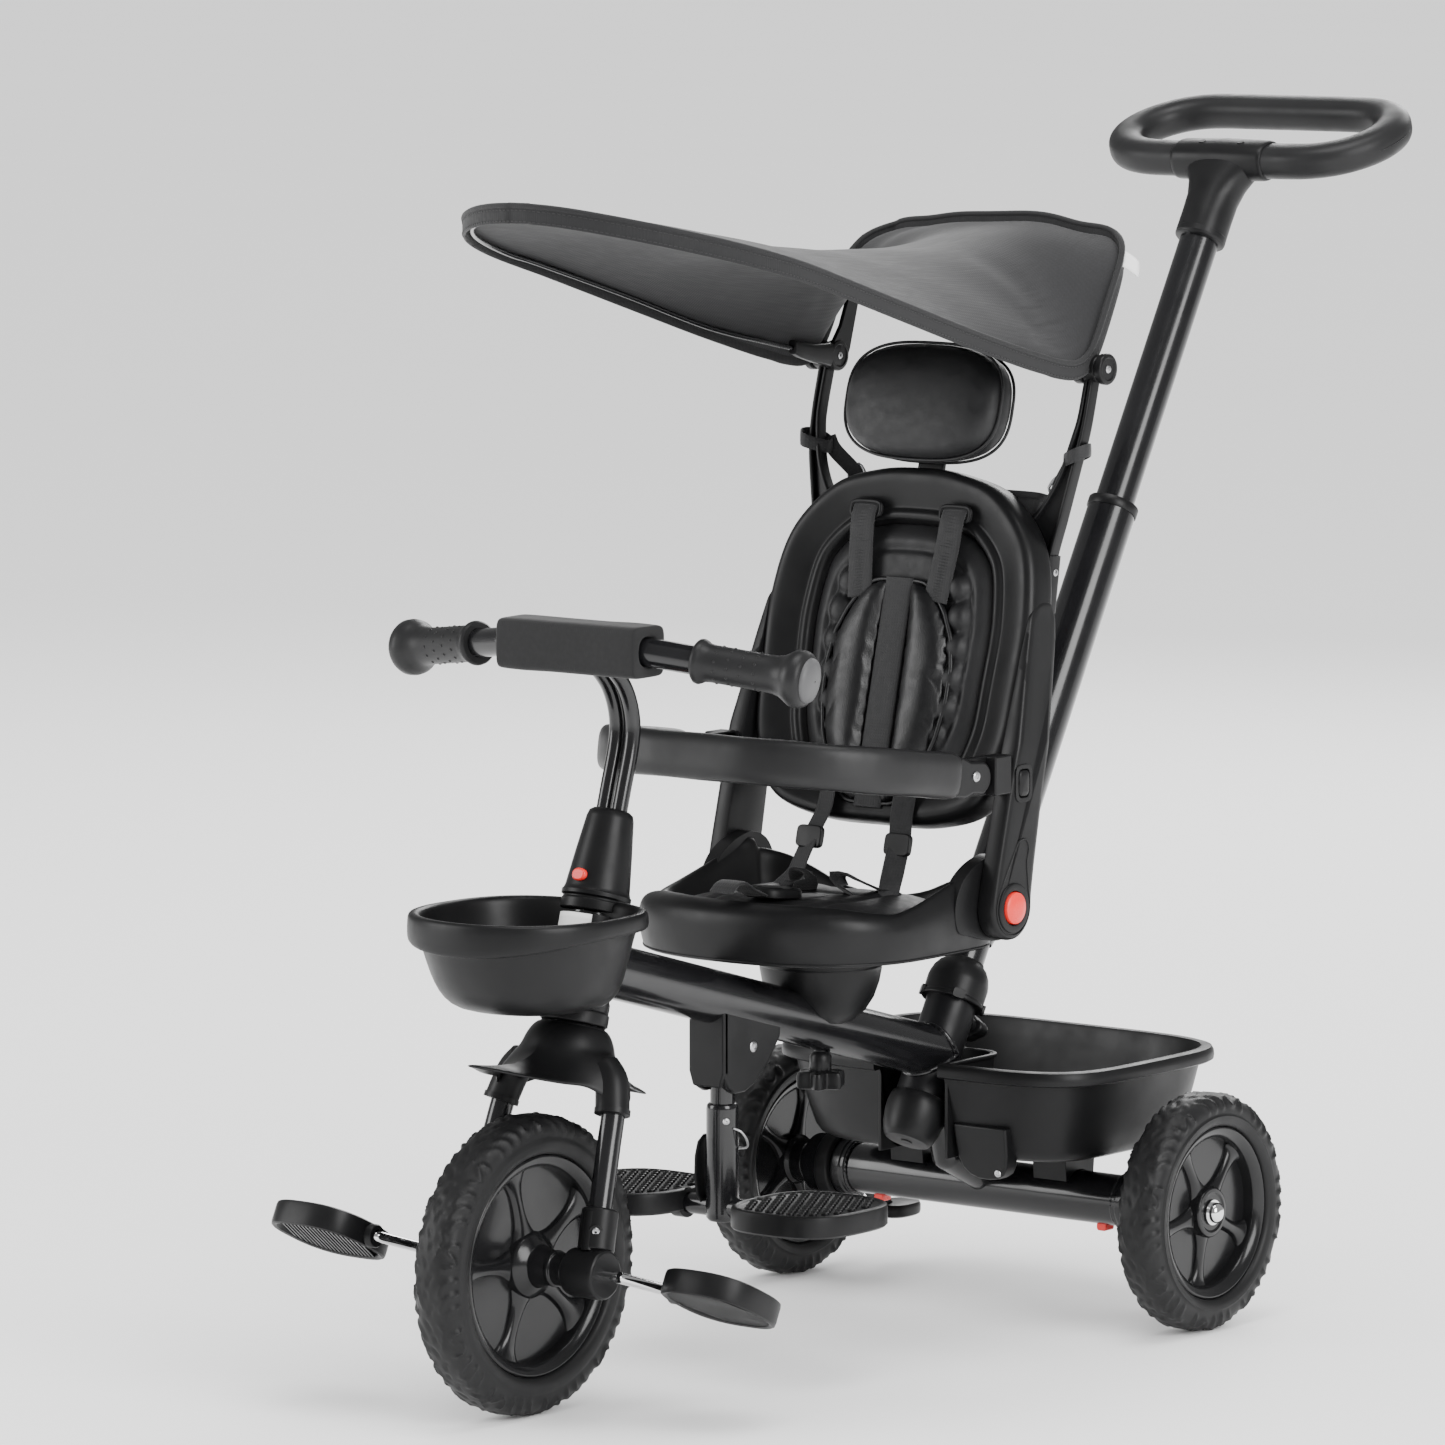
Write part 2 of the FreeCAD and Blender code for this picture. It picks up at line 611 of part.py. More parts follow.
for corners in (front_brim, rear_brim):
    crown.append(Part.Face(Part.makePolygon(corners + [corners[0]])).extrude(V(0, 0, 5)))
crown.append(block(-38, 38, -615, -540, 262, 276))
crown = join(crown).cut(fork)
crown = crown.cut(Part.makeCylinder(126, 60, P(-30, FRONT_Y, FRONT_R), V(1, 0, 0)))
export("crown_fender", max(crown.Solids, key=lambda s: s.Volume))

shoes = []
for side in (-1, 1):
    shoe = rod(P(side * 63, -605, 168), P(side * 66.5, -616, 134), 15)
    shoe = shoe.fuse(rod(P(side * 49, FRONT_Y, FRONT_R), P(side * 83, FRONT_Y, FRONT_R), 20))
    shoe = shoe.cut(
        rod(P(side * 40, FRONT_Y, FRONT_R), P(side * 90, FRONT_Y, FRONT_R), AXLE_R + RUNNING)
    )
    shoes.append(shoe.cut(fork).removeSplitter())
export("fork_shoes", *[max(s.Solids, key=lambda b: b.Volume) for s in shoes])

cover_profile = [(12, 87), (28, 87), (28, 101), (26.5, 103), (17.5, 168), (12, 170)]
cover = turned(cover_profile, P(0, HEAD_Y, HEAD_Z), HEAD_UP)
button_hole = rod(on_head(118, 18), on_head(118, 34), 7.3)
cover = cover.cut(button_hole)
stem_button = rod(on_head(118, 21), on_head(118, 29), 7)
export("stem_button", stem_button)
bar_centre = (-552.0, 603.0)
stem_tubes = []
for side in (-1, 1):
    x = side * 8.3
    path = [
        on_head(152, 0, x), on_head(185, 0, x), P(x, -495, 525), P(x, -506, 566), P(x, -535, 590)
    ]
    stem_tubes.append(smooth_pipe(path, 6.2))
stem = join(stem_tubes + [rod(on_head(151), on_head(162), 12)])
stem = stem.fuse(rod(P(-20, -534, 589), P(20, -534, 589), 9)).removeSplitter()
bars = []
for side in (-1, 1):
    bars.append(rod(P(side * 70, bar_centre[0], bar_centre[1]), P(side * 205, -520.7, 586.5), 11.5))
bar = join(
    [rod(P(-70, *bar_centre), P(70, *bar_centre), 11.5)] + [
        ball(P(s * 70, *bar_centre), 11.5) for s in (-1, 1)
    ] + bars
)
stem = stem.cut(bar).cut(steerer)
export("stem", max(stem.Solids, key=lambda s: s.Volume))
export("stem_cover", cover.cut(stem).cut(fork))
export("handlebar", bar)
pad = soft_block(
    -70, 70, bar_centre[0] - 20, bar_centre[0] + 20, bar_centre[1] - 20, bar_centre[1] + 20, 9
)
pad = pad.cut(bar).cut(stem)
export("handlebar_pad", max(pad.Solids, key=lambda s: s.Volume))
direction = (P(205, -520.7, 586.5) - P(70, *bar_centre)).normalize()
start = P(70, *bar_centre) + direction * 42
grip_profile = [
    (11.5, 0), (15, 0), (15, 56), (17, 60), (17, 78), (22.5, 84), (22.5, 94), (19, 101), (0, 102),
    (0, 96.6), (11.5, 96.6),
]
grip = turned(grip_profile, start, direction).cut(bar)
export("grip_left", grip)
export("grip_right", mirrored(grip))


# ---- wheels ----
def tyre(radius, inner, width, x):
    half = width / 2
    profile = [
        (inner, -half + 7), (radius - 22, -half), (radius - 10, -half + 3),
        (radius - 2.5, -half + 11), (radius, 0),
    ]
    profile += [(r, -a) for r, a in reversed(profile[:-1])]
    return turned(profile, x)


def spoked_hub(outer, inner, width, centre, barrel, spokes=5):
    half = width / 2
    rim_ring = turned([(inner, -half), (outer, -half), (outer, half), (inner, half)], centre)
    hub = turned(barrel, centre)
    pieces = [rim_ring, hub]
    for i in range(spokes):
        spoke = Part.makeBox(16, 18, inner - 8, centre + V(-8, -9, 12))
        spoke.rotate(centre, V(1, 0, 0), 360.0 * i / spokes)
        pieces.append(spoke)
    web = turned([(20, -2), (inner + 1, -2), (inner + 1, 2), (20, 2)], centre)
    return join(pieces + [web])


front_centre = P(0, FRONT_Y, FRONT_R)
export("front_tyre", tyre(FRONT_R, 88, TYRE_WIDTH, front_centre))
barrel = [(0, -47), (13, -47), (15, -30), (24, -12), (24, 12), (15, 30), (13, 47), (0, 47)]
axle = rod(P(-86, FRONT_Y, FRONT_R), P(86, FRONT_Y, FRONT_R), AXLE_R)
hub = spoked_hub(88, 77, 32, front_centre, barrel).cut(axle)
export("front_hub", hub)
pedal_dy = CRANK_R * math.cos(math.radians(CRANK_DROP))
pedal_dz = -CRANK_R * math.sin(math.radians(CRANK_DROP))
cranks = [axle]
for side in (-1, 1):
    pedal_y, pedal_z = FRONT_Y + side * pedal_dy, FRONT_R + side * pedal_dz
    throw = [
        P(side * 85, FRONT_Y, FRONT_R), P(side * 90, FRONT_Y, FRONT_R),
        P(side * 100, pedal_y, pedal_z), P(side * 186, pedal_y, pedal_z),
    ]
    cranks.append(bent_rod(throw, 4.5))
export("crank_axle", join(cranks))
for name, side in (("pedal_left", 1), ("pedal_right", -1)):
    pedal_y, pedal_z = FRONT_Y + side * pedal_dy, FRONT_R + side * pedal_dz
    centre = P(side * PEDAL_X, pedal_y, pedal_z)
    wire = closed_curve(superellipse(42, 45, 2.6, 24, (side * PEDAL_X, pedal_y), pedal_z - 10))
    pedal = Part.Face(wire).extrude(V(0, 0, 20))
    pedal.rotate(centre, V(1, 0, 0), -PEDAL_PITCH)
    bore = rod(P(side * 100, pedal_y, pedal_z), P(side * 186.5, pedal_y, pedal_z), 4.5 + RUNNING)
    export(name, pedal.cut(bore))

for name, side in (("left", 1), ("right", -1)):
    centre = P(side * REAR_WHEEL_X, 0, REAR_R)
    barrel = [
        (AXLE_R + RUNNING, -25 * side), (21.5, -25 * side), (21.5, 13 * side),
        (AXLE_R + RUNNING, 13 * side),
    ]
    if side == -1:
        barrel.reverse()
    export("rear_tyre_" + name, tyre(REAR_R, 72, TYRE_WIDTH, centre))
    hub = spoked_hub(72, 61, 32, centre, barrel)
    hub = hub.cut(rod(P(side * 180, 0, REAR_R), P(side * 240, 0, REAR_R), AXLE_R + RUNNING))
    export("rear_hub_" + name, hub)

# ---- brake levers on the beam's end bushes ----
for name, side in (("brake_left", 1), ("brake_right", -1)):
    ring = rod(P(side * 154, 0, REAR_R), P(side * 168, 0, REAR_R), 30)
    arm = side_plate([(18, 92), (62, 52), (70, 60), (26, 108)], 156, 166)
    pad = soft_block(140, 176, 54, 98, 46, 58, 4)
    lever = arm.fuse(pad)
    lever = ring.fuse(lever if side == 1 else mirrored(lever))
    lever = lever.cut(rod(P(-190, 0, REAR_R), P(190, 0, REAR_R), 25 + RUNNING)).removeSplitter()
    export(name, max(lever.Solids, key=lambda s: s.Volume))
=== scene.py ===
import json
import math

import bmesh
import bpy
import numpy as np
from mathutils import Matrix, Vector


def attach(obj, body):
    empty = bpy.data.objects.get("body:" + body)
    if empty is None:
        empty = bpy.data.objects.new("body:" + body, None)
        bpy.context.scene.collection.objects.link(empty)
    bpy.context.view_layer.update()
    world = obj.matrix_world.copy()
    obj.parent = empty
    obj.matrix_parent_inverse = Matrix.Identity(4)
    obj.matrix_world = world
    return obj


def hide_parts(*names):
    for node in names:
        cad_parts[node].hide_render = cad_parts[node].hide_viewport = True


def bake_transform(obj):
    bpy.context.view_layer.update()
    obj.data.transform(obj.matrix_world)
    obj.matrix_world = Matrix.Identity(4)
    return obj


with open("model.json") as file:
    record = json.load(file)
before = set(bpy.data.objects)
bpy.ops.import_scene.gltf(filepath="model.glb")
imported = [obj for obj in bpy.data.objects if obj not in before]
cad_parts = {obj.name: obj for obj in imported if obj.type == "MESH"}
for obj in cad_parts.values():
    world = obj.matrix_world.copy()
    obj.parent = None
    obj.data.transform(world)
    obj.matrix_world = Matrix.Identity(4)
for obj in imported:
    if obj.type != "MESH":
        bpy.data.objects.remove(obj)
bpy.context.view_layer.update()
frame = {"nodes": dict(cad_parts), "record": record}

NODES = frame["nodes"]
SCENE = bpy.context.scene

# Lengths are in millimetres, with Y counted from the rear axle, as in the CAD model.
# W() gives metres in the part's frame.
REAR_AXLE_Y = 144.8
# origins (Y, Z) of the head tube, the push-rod socket, the recline hinge and the canopy's pivot
HEAD_Y, HEAD_Z = -560.4, 306.5
ROD_Y, ROD_Z = -108.8, 173.0
HINGE_Y, HINGE_Z = -177.0, 367.6
PIVOT_Y, PIVOT_Z = -52, 801
FRONT_AXLE_Y, FRONT_RADIUS = -622.4, 120
REAR_WHEEL_X, REAR_RADIUS = 214.8, 100
X, Y, Z = Vector((1, 0, 0)), Vector((0, 1, 0)), Vector((0, 0, 1))


def W(x, y, z):
    return Vector((x, y + REAR_AXLE_Y, z)) / 1000


def lean(degrees):
    a = math.radians(degrees)
    return Vector((0, math.sin(a), math.cos(a))), Vector((0, math.cos(a), -math.sin(a)))


HEAD_UP, HEAD_BACK = lean(16.5)
ROD_UP, ROD_BACK = lean(29.78)
BACK_UP, BACK_OUT = lean(13.6)


def on_head(t, forward=0.0, x=0.0):
    return W(x, HEAD_Y, HEAD_Z) + (HEAD_UP * t - HEAD_BACK * forward) / 1000


def on_rod(s, back=0.0, x=0.0):
    return W(x, ROD_Y, ROD_Z) + (ROD_UP * s + ROD_BACK * back) / 1000


def on_back(x, up, out):
    """Point on the backrest: up along its lean from the recline hinge, out towards the rear."""
    return W(x, HINGE_Y, HINGE_Z) + (BACK_UP * up + BACK_OUT * out) / 1000


def mirror(points):
    return [Vector((-p.x, p.y, p.z)) for p in points]


def curve_through(points, count, closed=False):
    """Smooth line through points, as count points."""
    pts = [Vector(p) for p in points]
    n = len(pts)
    if closed:
        at = lambda i: pts[i % n]
        spans = n
    else:
        first, last = pts[0] * 2 - pts[1], pts[-1] * 2 - pts[-2]
        at = lambda i: first if i < 0 else last if i >= n else pts[i]
        spans = n - 1
    result = []
    for k in range(count):
        t = spans * k / (count if closed else count - 1)
        i = min(int(t), spans - 1)
        f = t - i
        p0, p1, p2, p3 = at(i - 1), at(i), at(i + 1), at(i + 2)
        result.append(
            0.5 * (
                (2 * p1) + (p2 - p0) * f + (
                    2 * p0 - 5 * p1 + 4 * p2 - p3
                ) * f ** 2 + (3 * p1 - p0 - 3 * p2 + p3) * f ** 3
            )
        )
    return result


def even(points, step, closed=False):
    """The same line with points a step apart, in metres."""
    line = [Vector(p) for p in points] + ([Vector(points[0])] if closed else [])
    lengths = [0.0]
    for a, b in zip(line, line[1:]):
        lengths.append(lengths[-1] + (b - a).length)
    count = max(3, int(round(lengths[-1] / step)))
    result, i = [], 0
    for k in range(count + (0 if closed else 1)):
        want = lengths[-1] * k / count
        while i < len(line) - 2 and lengths[i + 1] < want:
            i += 1
        span = max(lengths[i + 1] - lengths[i], 1e-9)
        result.append(line[i].lerp(line[i + 1], (want - lengths[i]) / span))
    return result


# ---- materials ----
MATERIALS = {}


def node_tree(name):
    mat = bpy.data.materials.new(name)
    mat.use_nodes = True
    tree = mat.node_tree
    return mat, tree, tree.nodes["Principled BSDF"]


def link(tree, a, b):
    tree.links.new(a, b)


def noise(tree, coords, scale, detail=3.0, stretch=None):
    vector = coords
    if stretch:
        mapping = tree.nodes.new("ShaderNodeMapping")
        mapping.inputs["Scale"].default_value = stretch
        link(tree, coords, mapping.inputs["Vector"])
        vector = mapping.outputs["Vector"]
    tex = tree.nodes.new("ShaderNodeTexNoise")
    tex.inputs["Scale"].default_value = scale
    tex.inputs["Detail"].default_value = detail
    link(tree, vector, tex.inputs["Vector"])
    return tex.outputs["Fac"]


def spread(tree, value, low, high):
    ramp = tree.nodes.new("ShaderNodeMapRange")
    ramp.inputs["From Min"].default_value = 0.3
    ramp.inputs["From Max"].default_value = 0.7
    ramp.inputs["To Min"].default_value = low
    ramp.inputs["To Max"].default_value = high
    link(tree, value, ramp.inputs["Value"])
    return ramp.outputs["Result"]


def mixed(tree, value, dark, light):
    mix = tree.nodes.new("ShaderNodeMix")
    mix.data_type = "RGBA"
    mix.inputs["A"].default_value = (*dark, 1)
    mix.inputs["B"].default_value = (*light, 1)
    link(tree, value, mix.inputs["Factor"])
    return mix.outputs["Result"]


def bump(tree, shader, heights):
    """Bump nodes in a row, from (height, strength, distance in mm)."""
    normal = None
    for height, strength, distance in heights:
        node = tree.nodes.new("ShaderNodeBump")
        node.inputs["Strength"].default_value = strength
        node.inputs["Distance"].default_value = distance / 1000
        link(tree, height, node.inputs["Height"])
        if normal:
            link(tree, normal, node.inputs["Normal"])
        normal = node.outputs["Normal"]
    link(tree, normal, shader.inputs["Normal"])


def wave(tree, coords, scale, axis, distortion=0.0):
    tex = tree.nodes.new("ShaderNodeTexWave")
    tex.bands_direction = axis
    tex.wave_profile = "SIN"
    tex.inputs["Scale"].default_value = scale
    tex.inputs["Distortion"].default_value = distortion
    tex.inputs["Detail"].default_value = 1.0
    link(tree, coords, tex.inputs["Vector"])
    return tex.outputs["Fac"]


def coordinates(tree):
    return tree.nodes.new("ShaderNodeTexCoord").outputs["Object"]


def moulded(
    name, slot, dark, light, rough, grain=(900, 0.12), coat=0.0, metallic=0.0, broad=14, shine=0.5
):
    """Moulded plastic or paint: cloudy roughness, fine grain and slightly paler patches."""
    mat, tree, shader = node_tree(name)
    coords = coordinates(tree)
    cloud = noise(tree, coords, broad, 4.0)
    link(tree, mixed(tree, cloud, dark, light), shader.inputs["Base Color"])
    link(
        tree, spread(tree, noise(tree, coords, broad * 3.1, 5.0), *rough),
        shader.inputs["Roughness"],
    )
    shader.inputs["Metallic"].default_value = metallic
    shader.inputs["Specular IOR Level"].default_value = shine
    shader.inputs["Coat Weight"].default_value = coat
    shader.inputs["Coat Roughness"].default_value = 0.08
    bump(tree, shader, [(noise(tree, coords, grain[0], 2.0), grain[1], 0.15)])
    MATERIALS[name] = (mat, slot)


def leather(name, slot, dark, light, rough, cell=520, strength=0.45):
    mat, tree, shader = node_tree(name)
    coords = coordinates(tree)
    cells = tree.nodes.new("ShaderNodeTexVoronoi")
    cells.feature = "DISTANCE_TO_EDGE"
    cells.inputs["Scale"].default_value = cell
    link(tree, coords, cells.inputs["Vector"])
    cloud = noise(tree, coords, 26, 4.0)
    link(tree, mixed(tree, cloud, dark, light), shader.inputs["Base Color"])
    link(tree, spread(tree, noise(tree, coords, 120, 4.0), *rough), shader.inputs["Roughness"])
    shader.inputs["Specular IOR Level"].default_value = 0.4
    wrinkle = noise(tree, coords, 60, 5.0)
    bump(tree, shader, [(wrinkle, 0.12, 0.8), (cells.outputs["Distance"], strength, 0.35)])
    MATERIALS[name] = (mat, slot)


def woven(
    name, slot, dark, light, rough, pitch=1.5, strength=0.5, axes=("X", "Y"), sheen=0.3, slub=None
):
    """Woven cloth: two crossed sets of threads, with slubs and faded patches."""
    mat, tree, shader = node_tree(name)
    coords = coordinates(tree)
    scale = 1000 * math.pi / (10 * pitch) * 2 / math.pi
    warp = wave(tree, coords, scale, axes[0], 0.6)
    weft = wave(tree, coords, scale, axes[1], 0.6)
    both = tree.nodes.new("ShaderNodeMath")
    both.operation = "MAXIMUM"
    link(tree, warp, both.inputs[0])
    link(tree, weft, both.inputs[1])
    streak = noise(tree, coords, 240, 3.0, slub or (1.0, 0.12, 1.0))
    blend_in = tree.nodes.new("ShaderNodeMath")
    blend_in.operation = "MULTIPLY_ADD"
    link(tree, streak, blend_in.inputs[0])
    blend_in.inputs[1].default_value = 0.75
    cloud = noise(tree, coords, 9, 3.0)
    half = tree.nodes.new("ShaderNodeMath")
    half.operation = "MULTIPLY"
    link(tree, cloud, half.inputs[0])
    half.inputs[1].default_value = 0.35
    link(tree, half.outputs[0], blend_in.inputs[2])
    link(tree, mixed(tree, blend_in.outputs[0], dark, light), shader.inputs["Base Color"])
    link(tree, spread(tree, streak, *rough), shader.inputs["Roughness"])
    shader.inputs["Sheen Weight"].default_value = sheen
    shader.inputs["Specular IOR Level"].default_value = 0.25
    shader.inputs["Sheen Roughness"].default_value = 0.5
    bump(tree, shader, [(both.outputs[0], strength, 0.25), (streak, 0.35, 0.3)])
    MATERIALS[name] = (mat, slot)


moulded(
    "paint", "painted_steel", (0.004, 0.004, 0.0045), (0.008, 0.008, 0.009), (0.18, 0.26),
    (260, 0.05), coat=0.3, shine=0.4,
)
moulded(
    "zinc", "bare_steel", (0.42, 0.42, 0.43), (0.6, 0.6, 0.61), (0.28, 0.42), (700, 0.1),
    metallic=1.0,
)
moulded(
    "chrome", "chrome", (0.78, 0.78, 0.79), (0.9, 0.9, 0.9), (0.05, 0.12), (500, 0.02), metallic=1.0
)
moulded(
    "plastic", "satin_plastic", (0.004, 0.004, 0.0043), (0.008, 0.008, 0.0085), (0.34, 0.46),
    (1500, 0.1), shine=0.24,
)
moulded(
    "gloss", "gloss_plastic", (0.005, 0.005, 0.0055), (0.009, 0.009, 0.0095), (0.18, 0.26),
    (400, 0.04), coat=0.12, shine=0.32,
)
moulded(
    "satin", "painted_steel", (0.004, 0.004, 0.0045), (0.008, 0.008, 0.009), (0.36, 0.46),
    (700, 0.1), shine=0.26,
)
moulded("red", "red_plastic", (0.72, 0.02, 0.015), (0.85, 0.035, 0.025), (0.24, 0.36), (900, 0.06))
moulded(
    "tyre", "eva_tyre", (0.006, 0.006, 0.0063), (0.011, 0.011, 0.0115), (0.4, 0.55), (1100, 0.25),
    shine=0.26,
)
moulded(
    "rubber", "grip_rubber", (0.008, 0.008, 0.0085), (0.016, 0.016, 0.0165), (0.36, 0.5),
    (1300, 0.2), shine=0.26,
)
moulded(
    "cap_grey", "grip_rubber", (0.055, 0.055, 0.057), (0.085, 0.085, 0.087), (0.45, 0.6),
    (1300, 0.15),
)
moulded(
    "foam", "foam", (0.007, 0.007, 0.0075), (0.014, 0.014, 0.0145), (0.38, 0.5), (1200, 0.22),
    shine=0.35,
)
moulded("label", "canopy_fabric", (0.72, 0.72, 0.71), (0.82, 0.82, 0.81), (0.5, 0.65), (700, 0.1))
leather(
    "leather", "synthetic_leather", (0.004, 0.004, 0.0044), (0.008, 0.008, 0.0088), (0.32, 0.44)
)
leather(
    "smooth_leather", "synthetic_leather", (0.005, 0.005, 0.0055), (0.01, 0.01, 0.011),
    (0.46, 0.58), 1100, 0.22,
)
woven(
    "canopy", "canopy_fabric", (0.008, 0.008, 0.0085), (0.026, 0.026, 0.0275), (0.7, 0.9), 1.8,
    0.35, sheen=0.12,
)
woven(
    "hem", "canopy_fabric", (0.006, 0.006, 0.0064), (0.017, 0.017, 0.018), (0.6, 0.8), 1.2, 0.4,
    sheen=0.1,
)
woven(
    "bag", "canopy_fabric", (0.009, 0.009, 0.0095), (0.026, 0.026, 0.027), (0.55, 0.75), 1.6, 0.35,
    ("X", "Z"), sheen=0.12,
)
woven(
    "webbing", "webbing", (0.006, 0.006, 0.0065), (0.024, 0.024, 0.025), (0.5, 0.7), 1.6, 0.5,
    ("X", "Z"), sheen=0.12,
)
woven(
    "velour", "foam", (0.006, 0.006, 0.0065), (0.014, 0.014, 0.0145), (0.75, 0.92), 1.1, 0.25,
    sheen=0.1,
)


def coat_of(obj, name):
    mat, slot = MATERIALS[name]
    obj.data.materials.clear()
    obj.data.materials.append(mat)
    return obj


# ---- mesh helpers ----
def add_subdivision(obj, levels):
    sub = obj.modifiers.new("subdivision", "SUBSURF")
    sub.levels = sub.render_levels = levels


def finish_mesh(obj, sharp=35.0, bevel=0.0, subdivide=0, thick=0.0, segments=2):
    mesh = obj.data
    mesh.shade_smooth()
    mesh.set_sharp_from_angle(angle=math.radians(sharp))
    if thick:
        solid = obj.modifiers.new("thickness", "SOLIDIFY")
        solid.thickness = thick / 1000
        solid.offset = 0
    if bevel:
        edge = obj.modifiers.new("rounded edges", "BEVEL")
        edge.width = bevel / 1000
        edge.segments = segments
        edge.limit_method = "ANGLE"
        edge.angle_limit = math.radians(sharp)
    if subdivide:
        add_subdivision(obj, subdivide)
    if bevel and not subdivide:
        normals = obj.modifiers.new("normals", "WEIGHTED_NORMAL")
        normals.keep_sharp = True
    return obj


def piece(name, body, material, verts, faces, stands_for=(), merge=True, **shape):
    mesh = bpy.data.meshes.new(name)
    bm = bmesh.new()
    made = [bm.verts.new(v) for v in verts]
    for face in faces:
        corners = []
        for i in face:
            if made[i] not in corners:
                corners.append(made[i])
        if len(corners) > 2:
            try:
                bm.faces.new(corners)
            except ValueError:
                pass
    if merge:
        bmesh.ops.remove_doubles(bm, verts=bm.verts, dist=2e-6)
        bmesh.ops.dissolve_degenerate(bm, edges=bm.edges, dist=1e-6)
    bmesh.ops.recalc_face_normals(bm, faces=bm.faces)
    bm.to_mesh(mesh)
    bm.free()
    obj = bpy.data.objects.new(name, mesh)
    SCENE.collection.objects.link(obj)
    finish_mesh(obj, **shape)
    coat_of(obj, material)
    if body:
        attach(obj, body)
    if stands_for:
        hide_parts(*stands_for)
    return obj


def grid(rows, wrap=True, loop=False, caps=True):
    """Faces over rows of points.

    wrap closes each row, loop joins the last row to the first, caps fills the ends.
    """
    n = len(rows[0])
    verts = [p for row in rows for p in row]
    faces = []
    for i in range(len(rows) if loop else len(rows) - 1):
        k = (i + 1) % len(rows)
        for j in range(n if wrap else n - 1):
            m = (j + 1) % n
            faces.append((i * n + j, i * n + m, k * n + m, k * n + j))
    if caps and wrap and not loop:
        faces.append(tuple(range(n)))
        faces.append(tuple(range((len(rows) - 1) * n, len(rows) * n)))
    return verts, faces


def joined(*parts):
    verts, faces = [], []
    for v, f in parts:
        faces += [tuple(i + len(verts) for i in face) for face in f]
        verts += list(v)
    return verts, faces


def turned(profile, origin, axis=X, count=64):
    """Solid of revolution from (radius, distance along the axis) in millimetres."""
    axis = Vector(axis).normalized()
    side = axis.orthogonal().normalized()
    other = axis.cross(side)
    rows = []
    for i in range(count):
        a = 2 * math.pi * i / count
        radial = side * math.cos(a) + other * math.sin(a)
        rows.append([origin + (radial * r + axis * d) / 1000 for r, d in profile])
    open_ends = profile[0][0] == 0 and profile[-1][0] == 0
    return grid(rows, wrap=not open_ends, loop=True)


def swept(path, section, closed=False, keep_up=None, scales=None):
    """Section of (across, up) millimetres carried along a path.

    keep_up fixes the section's up direction.
    """
    count = len(path)
    rows = []
    normal = None
    for i, p in enumerate(path):
        if closed:
            tangent = (path[(i + 1) % count] - path[i - 1]).normalized()
        else:
            tangent = (path[min(i + 1, count - 1)] - path[max(i - 1, 0)]).normalized()
        if keep_up is not None:
            reference = keep_up[i] if isinstance(keep_up, list) else keep_up
            normal = (reference - tangent * tangent.dot(reference)).normalized()
        elif normal is None:
            normal = tangent.orthogonal().normalized()
        else:
            normal = (normal - tangent * tangent.dot(normal)).normalized()
        across = tangent.cross(normal)
        s = scales[i] if scales else 1.0
        sa, su = s if isinstance(s, tuple) else (s, s)
        rows.append([p + (across * (a * sa) + normal * (u * su)) / 1000 for a, u in section])
    return grid(rows, wrap=True, loop=closed, caps=not closed)


def circle(radius, count=20):
    return [
        (
            radius * math.cos(2 * math.pi * i / count), radius * math.sin(2 * math.pi * i / count)
        ) for i in range(count)
    ]


def superellipse(a, b, n, count=40):
    points = []
    for i in range(count):
        t = 2 * math.pi * i / count
        c, s = math.cos(t), math.sin(t)
        points.append(
            (a * math.copysign(abs(c) ** (2.0 / n), c), b * math.copysign(abs(s) ** (2.0 / n), s))
        )
    return points


def tube(points, radius, step=6.0, count=20):
    path = even(curve_through(points, 40 * len(points)), step / 1000)
    return swept(path, circle(radius, count))


def straight(a, b, radius, count=32, edge=0.6):
    """Straight round bar with eased ends."""
    length = (b - a).length * 1000
    e = min(edge, radius * 0.4)
    profile = [
        (0, 0), (radius - e, 0), (radius, e), (radius, length - e), (radius - e, length),
        (0, length),
    ]
    return turned(profile, a, b - a, count)


def plate(outline, place, low, high):
    """Plate with an outline of (u, v), between two depths; place(u, v, w) gives the point."""
    rows = [[place(u, v, w) for u, v in outline] for w in (low, high)]
    return grid(rows)


def tub_rows(rings, centre, front_power=2.6, rear_power=4.0, count=72):
    """Rings of (half width, half length, z): rounder in front, squarer behind."""
    rows = []
    for a, b, z in rings:
        row = []
        for i in range(count):
            t = 2 * math.pi * i / count
            c, s = math.cos(t), math.sin(t)
            n = rear_power if s > 0 else front_power
            row.append(
                W(
                    a * math.copysign(abs(c) ** (2 / n), c),
                    centre + b * math.copysign(abs(s) ** (2 / n), s), z,
                )
            )
        rows.append(row)
    return rows


def screw(name, body, centre, axis, radius=3.6):
    """Round screw or rivet head, with a shallow recess."""
    profile = [
        (0, -1), (radius, -1), (radius, 0.5), (radius * 0.8, 1.3), (radius * 0.4, 1.5),
        (radius * 0.35, 0.9), (0, 0.8),
    ]
    return piece(name, body, "zinc", *turned(profile, centre, axis, 24))


# ---- camera, floor and light ----
def make_camera():
    data = bpy.data.cameras.new("camera")
    data.sensor_width = 36
    data.lens = 200.43
    data.clip_end = 100
    camera = bpy.data.objects.new("camera", data)
    SCENE.collection.objects.link(camera)
    azimuth, elevation, distance = math.radians(38.087), math.radians(6.442), 6.4854
    back = Vector(
        (
            math.sin(azimuth) * math.cos(elevation), -math.cos(azimuth) * math.cos(elevation),
            math.sin(elevation),
        )
    )
    camera.location = Vector((0, -0.22505, 0.52656)) + back * distance
    camera.rotation_mode = "QUATERNION"
    camera.rotation_quaternion = (-back).to_track_quat("-Z", "Y")
    SCENE.camera = camera


